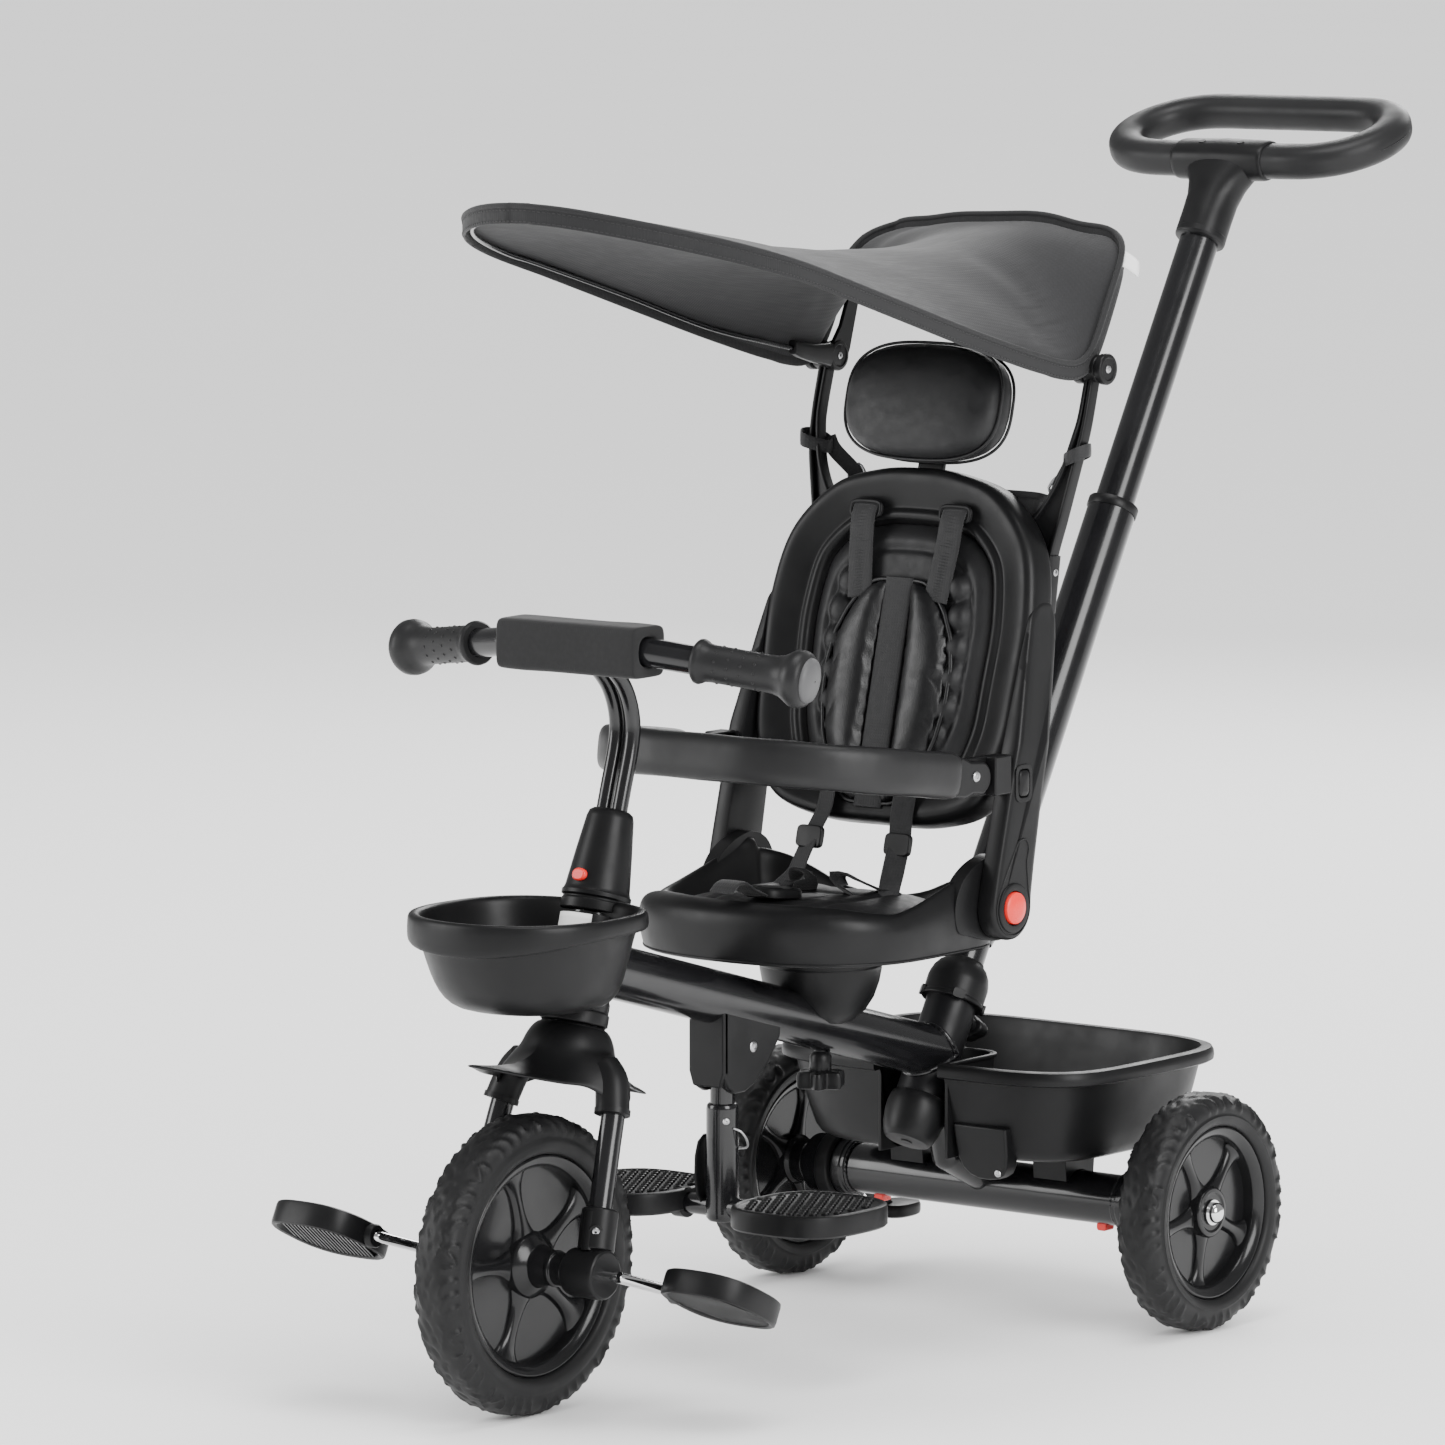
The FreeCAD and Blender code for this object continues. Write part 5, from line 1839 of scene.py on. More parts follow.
def make_leaf():
    ups = np.linspace(74, 260, 40)
    for side, label in ((1, "left"), (-1, "right")):
        rows = []
        for up in ups:
            half = leaf_half(up)
            inner = 12.0
            row = []
            for k in range(17):
                f = k / 16
                x = inner + (half - inner) * f
                crown = (1 - abs(2 * f - 1) ** 2.6)
                crown *= min(1, (up - 70) / 14, (264 - up) / 12)
                row.append(on_back(side * x, up, -15.5 - 6.8 * crown))
            for k in range(16, -1, -1):
                f = k / 16
                x = inner + (half - inner) * f
                row.append(on_back(side * x, up, -13.2))
            rows.append(row)
        obj = piece("leaf_pad_" + label, None, "leather", *grid(rows), sharp=80)
        inflate(obj, 0.0035, 0.0035, 3.0)
        soften(obj, 1)
        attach(obj, "backrest")
    strip = []
    for up in np.linspace(70, 262, 30):
        strip.append(on_back(0, up, -16.6))
    piece(
        "leaf_strip", "backrest", "webbing",
        *swept(strip, superellipse(14, 1.4, 3, 24), keep_up=-BACK_OUT), sharp=50,
    )
    edge = [on_back(leaf_half(up) + 0.6, up, -14.8) for up in np.linspace(74, 260, 30)]
    edge += mirror(reversed(edge))
    line = even(curve_through(edge, 240, True), 0.003, True)
    piece(
        "leaf_piping", "backrest", "leather", *swept(line, circle(2.0, 12), closed=True), sharp=60
    )
    under = [on_back(leaf_half(up) * 0.97, up, -12.4) for up in np.linspace(74, 260, 30)]
    under += mirror(reversed(under))
    rows = [
        [
            p + BACK_OUT * d for p in even(curve_through(under, 160, True), 0.005, True)
        ] for d in (-0.0008, 0.0012)
    ]
    piece("leaf_backing", "backrest", "webbing", *grid(rows), sharp=50)


make_leaf()


def ribbon(path, wide, thick, facing, ribs=0.0, pitch=2.6):
    """Flat webbing along a path; ribs is the height of its crosswise ridges."""
    line = even(curve_through(path, 60 * len(path)), 0.0013 if ribs else 0.004)
    up = facing if isinstance(facing, list) else [facing] * len(line)
    if len(up) != len(line):
        up = [up[min(int(i * len(up) / len(line)), len(up) - 1)] for i in range(len(line))]
    scales = None
    if ribs:
        scales = [
            (
                1.0, 1.0 + ribs * (0.5 + 0.5 * math.cos(2 * math.pi * i * 1.3 / pitch))
            ) for i in range(len(line))
        ]
    return swept(line, superellipse(wide / 2, thick / 2, 4, 20), keep_up=up, scales=scales)


def make_harness():
    parts = []
    for side in (-1, 1):
        path = [
            on_back(side * 46, 322, -14.5), on_back(side * 46, 318, -17),
            on_back(side * 45.6, 308, -18.4), on_back(side * 44.5, 290, -17.6),
            on_back(side * 42, 268, -17), on_back(side * 39, 244, -16.4),
        ]
        parts.append(ribbon(path, 24, 1.7, -BACK_OUT, 0.9))
    piece(
        "shoulder_straps", "backrest", "webbing", *joined(*parts), stands_for=["harness"], sharp=60
    )
    # waist straps that hang from the backrest to the seat
    waist = []
    for side, sway in ((1, 5), (-1, -3)):
        path = [
            on_back(side * 40, 88, -20), on_back(side * 40, 66, -21),
            on_back(side * 41 + sway, 44, -27), on_back(side * 44 + sway, 22, -33),
            on_back(side * 50, 8, -36), W(side * 56, -222, 373),
        ]
        waist.append(ribbon(path, 20, 1.6, Vector((0.25 * side, -0.9, 0.2))))
    obj = piece("waist_straps", None, "webbing", *joined(*waist), sharp=60)
    on_back(0, 2, -34)
    on_back(0, 58, -24)
    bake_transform(obj)
    buckle_parts = []
    for side, sway in ((1, 5), (-1, -3)):
        centre = on_back(side * 41.5 + sway, 40, -28)
        place = lambda u, v, w: centre + (X * u + BACK_UP * v - BACK_OUT * w) / 1000
        buckle_parts.append(plate(superellipse(13, 9.5, 5, 32), place, -2, 3.4))
    buckles = piece("waist_buckles", None, "plastic", *joined(*buckle_parts), sharp=40, bevel=1.0)
    on_back(0, 2, -34)
    on_back(0, 58, -24)
    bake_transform(buckles)
    # crotch strap over the front roll, with its buckle lying on the cushion
    rise = [
        W(2, -246, 373), W(2, -290, 376), W(2, -322, 381), W(2, -342, 388), W(2, -356, 395.5),
        W(2, -366, 394.6), W(2, -374, 389),
    ]
    crotch = ribbon(rise, 24, 2.0, Vector((0, -0.25, 1)), 0.5)
    piece("crotch_strap", "seat", "webbing", *crotch, sharp=60)
    place = lambda u, v, w: W(2 + u, -306 + v, 377.5 + w + 0.1 * (-v))
    rows = []
    for scale, w in ((0.9, 0), (1, 1), (1, 6.5), (0.93, 8.6), (0.6, 9.4), (0.05, 9.5)):
        rows.append([place(u * scale, v * scale, w) for u, v in superellipse(19, 24, 3, 40)])
    piece("crotch_buckle", "seat", "plastic", *grid(rows), sharp=50)
    lap = []
    for side in (-1, 1):
        path = [
            W(side * 60, -206, 372.5), W(side * 42, -212, 377), W(side * 30, -228, 386),
            W(side * 22, -236, 391), W(side * 16, -238, 383), W(side * 24, -230, 374),
        ]
        lap.append(ribbon(path, 20, 1.6, Vector((0.3 * side, 0.5, 0.8))))
    piece("lap_straps", "seat", "webbing", *joined(*lap), sharp=60)


make_harness()


# ---- recline arms and guard rail ----
def soft_outline(points, step=3.0, rounds=3):
    """Closed outline of (u, v) with even points and eased corners."""
    line = even([Vector((u, v, 0)) for u, v in points], step, True)
    for _ in range(rounds):
        line = [
            (line[i - 1] + line[i] * 2 + line[(i + 1) % len(line)]) / 4 for i in range(len(line))
        ]
    return line


def carve(obj, verts, faces):
    """Takes a closed form out of a piece."""
    cutter = piece(obj.name + "_cutter", None, "plastic", verts, faces)
    cut = obj.modifiers.new("carve", "BOOLEAN")
    cut.operation = "DIFFERENCE"
    cut.solver = "EXACT"
    cut.object = cutter
    apply_modifiers(obj)
    bpy.data.objects.remove(cutter)
    obj.data.shade_smooth()
    obj.data.set_sharp_from_angle(angle=math.radians(38))


def make_arm(side, label):
    hinge_y, hinge_z, radius = -177.0, 367.6, 27.0
    outline = []
    for a in range(-188, 16, 6):
        r = math.radians(a)
        outline.append((hinge_y + radius * math.cos(r), hinge_z + radius * math.sin(r)))
    outline += [
        (-146, 400), (-136, 452), (-124, 505), (-112.5, 548), (-104, 580), (-101, 600), (-106, 612),
        (-122, 612), (-134, 604), (-146, 572), (-160, 530), (-172, 495), (-184, 450), (-197, 400),
    ]
    line = soft_outline(outline, 3.0, 3)
    n = len(line)
    rows = []
    for inset, depth in (
        (2.2, 133.1), (0.6, 133.6), (0, 135), (0, 145.6), (0.7, 148.4), (2.4, 149.9), (6, 150.4)
    ):
        row = []
        for i, p in enumerate(line):
            t = (line[(i + 1) % n] - line[i - 1]).normalized()
            q = p + Vector((-t.y, t.x, 0)) * inset
            taper = min(1.0, max(0.0, (q.y - 500) / 105))
            x = 133.1 + (depth - 133.1) * (1 - 0.82 * taper) + 0.4 * taper
            row.append(W(side * x, q.x, q.y))
        rows.append(row)
    obj = piece(
        "arm_" + label, "backrest", "plastic", *grid(rows), stands_for=["recline_arm_" + label],
        sharp=50,
    )
    carve(
        obj,
        *turned(
            [(0, side * 143.2), (14.0, side * 143.2), (14.0, side * 160), (0, side * 160)],
            W(0, hinge_y, hinge_z), X, 64,
        ),
    )
    place = lambda u, v, w: W(side * w, -164 + u, 469 + v)
    carve(obj, *plate(superellipse(7.7, 11.7, 4, 40), place, 143.8, 160))
    parts = [
        turned(
            [
                (14.0, side * 149.8), (20.6, side * 149.8), (20.6, side * 151.2),
                (19.4, side * 152.0), (15, side * 152.0), (14.0, side * 151.4),
            ],
            W(0, hinge_y, hinge_z), X, 64,
        )
    ]
    rows = []
    for outline2, w in (
        (superellipse(11.5, 15.5, 4, 48), 149.6), (superellipse(11.5, 15.5, 4, 48), 151.4),
        (superellipse(7.9, 11.9, 4, 48), 151.4), (superellipse(7.9, 11.9, 4, 48), 149.6),
    ):
        rows.append([place(u, v, w) for u, v in outline2])
    parts.append(grid(rows, loop=True))
    drop = [
        (
            hinge_y + 22.6 * math.cos(math.radians(a)), hinge_z + 22.6 * math.sin(math.radians(a))
        ) for a in range(-205, 26, 8)
    ]
    drop += [(-159, 404), (-155, 416), (-161, 424), (-170, 422), (-178, 410), (-186, 398)]
    ridge = [W(side * 150.3, p.x, p.y) for p in soft_outline(drop, 2.5, 2)]
    parts.append(swept(ridge, superellipse(0.9, 0.8, 2, 10), closed=True, keep_up=X))
    piece("arm_trim_" + label, "backrest", "plastic", *joined(*parts), sharp=40, bevel=0.4)
    rows = []
    for scale, w in (
        (0.05, 146.6), (1, 146.6), (1, 150.6), (0.92, 151.8), (0.6, 152.4), (0.05, 152.6)
    ):
        rows.append([place(u * scale, v * scale, w) for u, v in superellipse(6.9, 10.9, 4, 40)])
    piece(
        "latch_key_" + label, "guard_latch_" + label, "plastic", *grid(rows),
        stands_for=["guard_latch_" + label], sharp=50,
    )
    rows = [
        (0, 146.6), (12.6, 146.6), (13.2, 148), (13.3, 151.6), (12.9, 153.6), (11, 155), (6, 156),
        (0, 156.3),
    ]
    piece(
        "recline_key_" + label, "recline_button_" + label, "red",
        *turned([(r, side * a) for r, a in rows], W(0, hinge_y, hinge_z), X, 64),
        stands_for=["recline_button_" + label], sharp=40,
    )


for side, label in ((1, "left"), (-1, "right")):
    make_arm(side, label)


def on_guard(x, y):
    return W(x, y, 478 + (-218 - y) * math.tan(math.radians(7.5)))


def make_guard():
    corner, front, half = 100.0, -403.0, 140.0
    line = [on_guard(half, -246), on_guard(half, -303)]
    for a in range(10, 91, 8):
        r = math.radians(a)
        line.append(
            on_guard(half - corner + corner * math.cos(r), front + corner - corner * math.sin(r))
        )
    line.append(on_guard(half - corner, front))
    line += mirror(reversed(line))
    path = even(line, 0.006)
    up = Vector((0, math.sin(math.radians(7.5)), math.cos(math.radians(7.5))))
    count = len(path)
    scales = []
    for i in range(count):
        end = min(i, count - 1 - i)
        s = [0.86, 0.965, 1.0][min(end, 2)]
        bulge = 1 + 0.012 * math.sin(i * 0.5)
        scales.append((s, s * bulge))
    verts, faces = swept(path, superellipse(12, 19, 3.4, 40), keep_up=up, scales=scales)
    obj = piece("guard_foam", "guard", "foam", verts, faces, stands_for=["guard_rail"], sharp=70)
    add_subdivision(obj, 1)
    for side in (-1, 1):
        label = "left" if side > 0 else "right"
        tongue = [(-262, 466), (-240, 463.5), (-230, 466)] + [
            (
                -218 + 13.4 * math.cos(math.radians(a)), 478 + 13.4 * math.sin(math.radians(a))
            ) for a in range(-84, 91, 12)
        ]
        tongue += [(-232, 492.5), (-244, 497.5), (-262, 497)]
        piece(
            "guard_tongue_" + label, "guard", "plastic",
            *plate(tongue, lambda u, v, w: W(side * w, u, v), 141.2, 148.2), sharp=38, bevel=2.0,
            segments=3,
        )
        screw("guard_rivet_" + label, "guard", W(side * 148.4, -226, 480), X * side, 4.4)
        inner = [(-233, 463), (-204, 462), (-176, 462), (-176, 493), (-204, 494), (-233, 494)]
        socket = [(-202.5, 462), (-180, 462), (-180, 494), (-202.5, 494)]
        piece(
            "guard_socket_" + label, "backrest", "plastic",
            *plate(socket, lambda u, v, w: W(side * w, u, v), 134.0, 150.6), sharp=38, bevel=1.4,
            segments=2,
        )
        piece(
            "guard_bracket_" + label, "backrest", "plastic",
            *plate(inner, lambda u, v, w: W(side * w, u, v), 134.0, 140.6), sharp=38, bevel=1.0,
        )


make_guard()
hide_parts("guard_brackets")


# ---- headrest ----
def make_headrest():
    rows = []
    base = superellipse(1, 1, 2.9, 72)
    for a, b, out in (
        (2, 2, -36), (30, 14, -36), (52, 28, -35.2), (66, 39, -32.6), (74.5, 45, -27),
        (78.6, 48.4, -19), (79.4, 49.2, -11), (78, 48, -3), (74, 44.6, 3.4), (60, 34, 6.0),
        (2, 2, 6.4),
    ):
        rows.append([on_back(u * a, 410 + v * b, out) for u, v in base])
    obj = piece("headrest_padded", None, "smooth_leather", *grid(rows), sharp=80)
    inflate(obj, 0.004, 0.005, 3.5)
    soften(obj, 1)
    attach(obj, "headrest")
    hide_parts("headrest_pad")
    stalk = [(-13, 298), (13, 298), (13, 372), (-13, 372)]
    piece(
        "headrest_stalk", "headrest", "plastic", *plate(stalk, on_back, 2.6, 7.4),
        stands_for=["headrest_post"], sharp=40, bevel=1.0,
    )
    for out, scale in ((-20, 1.006), (-1.0, 0.985)):
        line = [
            on_back(
                u * 79.2 * scale, 410 + v * 49 * scale, out
            ) for u, v in superellipse(1, 1, 2.9, 120)
        ]
        piece(
            "headrest_piping_%d" % (-out), "headrest", "smooth_leather",
            *swept(even(line, 0.003, True), circle(1.3, 10), closed=True), sharp=60,
        )


make_headrest()


# ---- canopy: cloth over two wire bows, with a sewn hem ----
CANOPY_EDGE_Y = [-627, -600, -560, -500, -440, -330, -220, -160, -113, -80, -58, -40, -25, -8, 12]
CANOPY_EDGE_Z = [946, 937, 926, 911, 896, 864, 832, 816, 804, 799, 806, 838, 868, 892, 903]
CANOPY_CREST_Y = [-627, -600, -560, -500, -440, -330, -220, -130, -70, -25, 12]
CANOPY_CREST_Z = [950, 949, 945, 936, 926, 908, 899, 899, 903, 909, 915]
CANOPY_HALF, CANOPY_FRONT_Y, CANOPY_REACH = 140.0, -440.0, 187.0


def canopy_point(share, y):
    """Point of the cloth: share runs from -1 at the right edge to 1 at the left one."""
    half = CANOPY_HALF
    if y < CANOPY_FRONT_Y:
        half *= math.sqrt(max(0.0, 1 - ((y - CANOPY_FRONT_Y) / CANOPY_REACH) ** 2))
    elif y > -20:
        half -= 17 * ((y + 20) / 32) ** 2.2
    half -= 10 * max(0.0, (y + 35) / 47) ** 2.2
    edge = float(np.interp(y, CANOPY_EDGE_Y, CANOPY_EDGE_Z))
    crest = float(np.interp(y, CANOPY_CREST_Y, CANOPY_CREST_Z))
    x = half * share
    z = edge + (crest - edge) * (1 - abs(share) ** 2.3)
    # tension folds that fan out from the knuckles, and slack between the bows
    reach = math.hypot(half - abs(x), y + 70)
    angle = math.atan2(half - abs(x), y + 70)
    fold = 1.5 * math.sin(angle * 9 + 0.6) * math.exp(-((reach - 62) / 44) ** 2)
    slack = 0.9 * math.sin(x / 31 + y / 57) * (1 - share * share)
    slack = slack + 0.4 * math.sin(x / 17 - y / 23) * (1 - share ** 4)
    side = 1.0 if abs(share) < 0.97 else 0.0
    return W(x, y, z + (fold + slack) * side)


def make_canopy():
    ys = []
    for k in range(26):
        ys.append(CANOPY_FRONT_Y - CANOPY_REACH * math.cos(math.radians(90 * k / 25)))
    ys[0] += 0.6
    ys += list(np.linspace(-428, -130, 26)) + list(np.linspace(-120, 12, 24))
    shares = [math.sin(math.radians(a)) for a in np.linspace(-90, 90, 49)]
    rows = [[canopy_point(s, y) for s in shares] for y in ys]
    # smooth the profile along the length, where the stations meet at an angle
    for _ in range(3):
        fresh = [row[:] for row in rows]
        for i in range(1, len(rows) - 1):
            for j in range(len(shares)):
                middle = (rows[i - 1][j] + rows[i + 1][j]) / 2
                fresh[i][j] = rows[i][j].lerp(Vector((rows[i][j].x, rows[i][j].y, middle.z)), 0.6)
        rows = fresh
    cloth = piece(
        "canopy_sheet", "canopy", "canopy", *grid(rows, wrap=False, caps=False),
        stands_for=["canopy_cloth"], sharp=80, thick=1.1, subdivide=1,
    )
    # boundary line, clockwise from above, with the direction into the cloth at each point
    line = [(row[-1], row[-4]) for row in rows] + [
        (rows[-1][j], rows[-4][j]) for j in range(len(shares) - 2, 0, -1)
    ]
    line += [(row[0], row[3]) for row in reversed(rows)]
    # at the blunt tip the way into the cloth is straight back
    line = [(p, Vector((p.x * 0.9, p.y + 0.02, q.z)) if p.y < rows[4][0].y else q) for p, q in line]
    edge = even([p for p, _ in line], 0.005, True)
    source = [p for p, _ in line]
    inner = [q for _, q in line]
    normals = []
    for i, p in enumerate(edge):
        k = min(range(len(source)), key=lambda j: (source[j] - p).length_squared)
        along = (edge[(i + 1) % len(edge)] - edge[i - 1]).normalized()
        inward = (inner[k] - source[k]).normalized()
        normal = along.cross(inward).normalized()
        if normal.z < 0 and abs(normal.z) > 0.25:
            normal = -normal
        if normals and normal.dot(normals[-1]) < 0:
            normal = -normal
        normals.append(normal)
    for _ in range(4):
        normals = [
            (
                normals[i - 1] + normals[i] * 2 + normals[(i + 1) % len(normals)]
            ).normalized() for i in range(len(normals))
        ]
    inset = []
    for i, p in enumerate(edge):
        along = (edge[(i + 1) % len(edge)] - edge[i - 1]).normalized()
        side = normals[i].cross(along)
        if side.dot(W(0, -250, 900) - p) < 0:
            side = -side
        inset.append((p, side))
    # the hem stands upright along the edge line
    outward = []
    for i in range(len(edge)):
        out = (edge[(i + 1) % len(edge)] - edge[i - 1]).cross(Z).normalized()
        outward.append(out if out.dot(inset[i][1]) < 0 else -out)
    for _ in range(3):
        outward = [
            (
                outward[i - 1] + outward[i] * 2 + outward[(i + 1) % len(outward)]
            ).normalized() for i in range(len(outward))
        ]
    band = [p + out * 0.0008 for p, out in zip(edge, outward)]
    hem = piece(
        "canopy_hem", "canopy", "hem",
        *swept(band, superellipse(7.4, 1.5, 3, 20), closed=True, keep_up=outward), sharp=70,
    )
    cord = [p + out * 0.0008 + Z * 0.0068 for p, out in zip(edge, outward)]
    piping = piece(
        "canopy_piping", "canopy", "hem", *swept(cord, circle(2.4, 12), closed=True), sharp=70
    )
    stitches = []
    count = len(edge)
    for drop in (-0.0052, 0.0034):
        path = even([p + Z * drop for p in edge], 0.0042, True)
        for i in range(len(path)):
            a, b = path[i], path[(i + 1) % len(path)]
            out = outward[min(int(i * count / len(path)), count - 1)]
            lift = out * 0.0023
            stitches.append(
                swept(
                    [a + lift, a.lerp(b, 0.62) + lift], superellipse(0.45, 0.35, 2, 6), keep_up=out
                )
            )
    piece("canopy_stitches", "canopy", "bag", *joined(*stitches), sharp=60, merge=False)
    # tag sewn to the outside of the hem at the rear corner
    label = []
    for f in np.linspace(0, 1, 7):
        k = min(
            range(len(edge)), key=lambda j: (edge[j] - W(131.5, -16 + 16 * f, 886 + 10 * f)).length
        )
        start = edge[k] + outward[k] * 0.0026
        label.append(
            [
                start + Vector(
                    (0.5 * g, 0.6 * g, -0.35 * g - 0.2 * g * g)
                ) * 0.0165 for g in np.linspace(-0.12, 1, 6)
            ]
        )
    piece(
        "canopy_tag", "canopy", "label", *grid(label, wrap=False, caps=False), sharp=60, thick=0.5
    )


make_canopy()


def make_knuckles():
    parts = []
    for side in (-1, 1):
        centre = W(0, PIVOT_Y, PIVOT_Z)
        outer = [
            (0, 146.9), (11.6, 146.9), (12.8, 148), (13.1, 152.6), (12.3, 154), (9.4, 154.4),
            (9.2, 153.4), (0, 153.4),
        ]
        inner = [
            (0, 132.7), (11.6, 132.7), (12.8, 131.6), (13.1, 125), (12.3, 123.4), (9.4, 122.8),
            (9.2, 123.8), (0, 123.8),
        ]
        parts.append(turned([(r, side * a) for r, a in outer], centre, X, 48))
        parts.append(turned([(r, side * a) for r, a in inner], centre, X, 48))
        parts.append(
            straight(W(side * 124, PIVOT_Y, PIVOT_Z), W(side * 153, PIVOT_Y, PIVOT_Z), 4.2, 24)
        )
        # cheek that carries the front bow, tapering forwards, and the ear that carries the rear bow
        rows = []
        for y, z, half_x, half_z in (
            (-50, 801, 4.6, 11), (-66, 802.5, 4.8, 9.5), (-84, 804.5, 5, 8),
            (-104, 808.5, 4.8, 6.8), (-112, 811, 4.2, 6),
        ):
            rows.append(
                [W(side * (127.6 + u), y, z + v) for u, v in superellipse(half_x, half_z, 3.2, 24)]
            )
        parts.append(grid(rows))
        ear = [
            (-62, 808), (-44, 790.5), (-36, 806), (-24, 846), (-20, 862), (-27, 866), (-34, 858),
            (-48, 826),
        ]
        parts.append(plate(ear, lambda u, v, w: W(side * w, u, v), 124.6, 128.4))
        parts.append(
            straight(W(side * 123.6, -29, 851), W(side * 129.4, -29, 851), 3.1, 24, edge=0.9)
        )
    piece("canopy_knuckles", "canopy", "plastic", *joined(*parts), sharp=38, bevel=0.7)
    for side in (-1, 1):
        label = "left" if side > 0 else "right"
        screw(
            "knuckle_rivet_inner_" + label, "canopy", W(side * 123.9, PIVOT_Y, PIVOT_Z), X * -side,
            3.3,
        )
        screw(
            "knuckle_rivet_outer_" + label, "canopy", W(side * 153.3, PIVOT_Y, PIVOT_Z), X * side,
            3.3,
        )
    bows = []
    front = [
        W(127.6, -108, 809.5), W(132, -140, 816), W(135, -220, 833), W(135, -330, 865),
        W(134, -440, 895),
    ]
    for a in range(10, 91, 10):
        r = math.radians(a)
        y = CANOPY_FRONT_Y - (CANOPY_REACH - 5) * math.sin(r)
        front.append(
            W(134.5 * math.cos(r), y, float(np.interp(y, CANOPY_EDGE_Y, CANOPY_EDGE_Z)) - 1.6)
        )
    front += mirror(reversed(front[:-1]))
    bows.append(swept(even(curve_through(front, 260), 0.006), circle(2.2, 12)))
    rear = [
        W(126.5, -29, 852), W(127, -17, 872), W(124, -4, 888), W(112, 4, 896), W(96, 5.5, 902),
        W(60, 6, 907), W(0, 6, 909),
    ]
    rear += mirror(reversed(rear[:-1]))
    bows.append(swept(even(curve_through(rear, 160), 0.006), circle(2.2, 12)))
    piece("canopy_bows", "canopy", "paint", *joined(*bows), stands_for=["canopy_frame"], sharp=60)


make_knuckles()


# ---- canopy posts: moulded bars with two flanges, a thin web and a gusset on the shell ----
def make_post(side, label):
    outer = [
        (119, -88, 618), (121, -84, 645), (128, -78, 680), (136, -71, 722), (139.4, -63, 752),
        (139.8, -52, 792),
    ]
    inner = [
        (84, -84, 664), (98, -82, 672), (113, -79, 690), (125, -74, 714), (132, -67, 742),
        (134.4, -61, 760), (134.6, -52, 790),
    ]
    section = superellipse(6.2, 2.0, 4, 24)
    lines = []
    for points in (outer, inner):
        lines.append(even(curve_through([W(side * x, y, z) for x, y, z in points], 90), 0.004))
    parts = [swept(line, section, keep_up=X) for line in lines]
    a = curve_through([W(side * x, y, z) for x, y, z in outer], 50)
    b = curve_through([W(side * x, y, z) for x, y, z in inner], 50)
    rows = []
    for p, q in zip(a, b):
        rows.append([p + Y * 0.0013, q + Y * 0.0013, q - Y * 0.0013, p - Y * 0.0013])
    parts.append(grid(rows))
    parts.append(
        turned(
            [
                (0, side * 133.1), (10.6, side * 133.1), (11.5, side * 134), (11.5, side * 145.6),
                (10.6, side * 146.5), (0, side * 146.5),
            ],
            W(0, PIVOT_Y, PIVOT_Z), X, 40,
        )
    )
    pad = [W(side * x, y, z) for x, y, z in ((117, -86, 600), (119, -86, 618), (121, -84, 648))]
    parts.append(swept(even(curve_through(pad, 20), 0.004), superellipse(8, 4.4, 4, 24), keep_up=X))
    piece(
        "canopy_post_shaped_" + label, "backrest", "plastic", *joined(*parts),
        stands_for=["canopy_post_" + label], sharp=40, bevel=0.5,
    )
    screw("post_screw_" + label, "backrest", W(side * 123.6, -84, 634), X * side, 3.4)


for side, label in ((1, "left"), (-1, "right")):
    make_post(side, label)


# ---- storage bag behind the backrest ----
def bag_ring(up, half, near, far, count=96):
    """One level of the bag: rounded rectangle that bellies out at the back, with soft folds."""
    ring = []
    for u, v in superellipse(1, 1, 5.5, count):
        x = u * half
        out = (near + far) / 2 + v * (far - near) / 2
        if v > 0.3:
            belly = (1 - u * u) * 5.0
            folds = 1.6 * math.sin(x / 11 + up / 19) + 1.1 * math.sin(x / 23 - up / 13 + 1.3)
            out += belly * 0.6 + folds * min(1, (345 - up) / 60)
        x += 1.3 * math.sin(up / 17 + (2 if v > 0 else 0)) * (1 if abs(u) > 0.8 else 0)
        ring.append(on_back(x, up, out))
    return ring


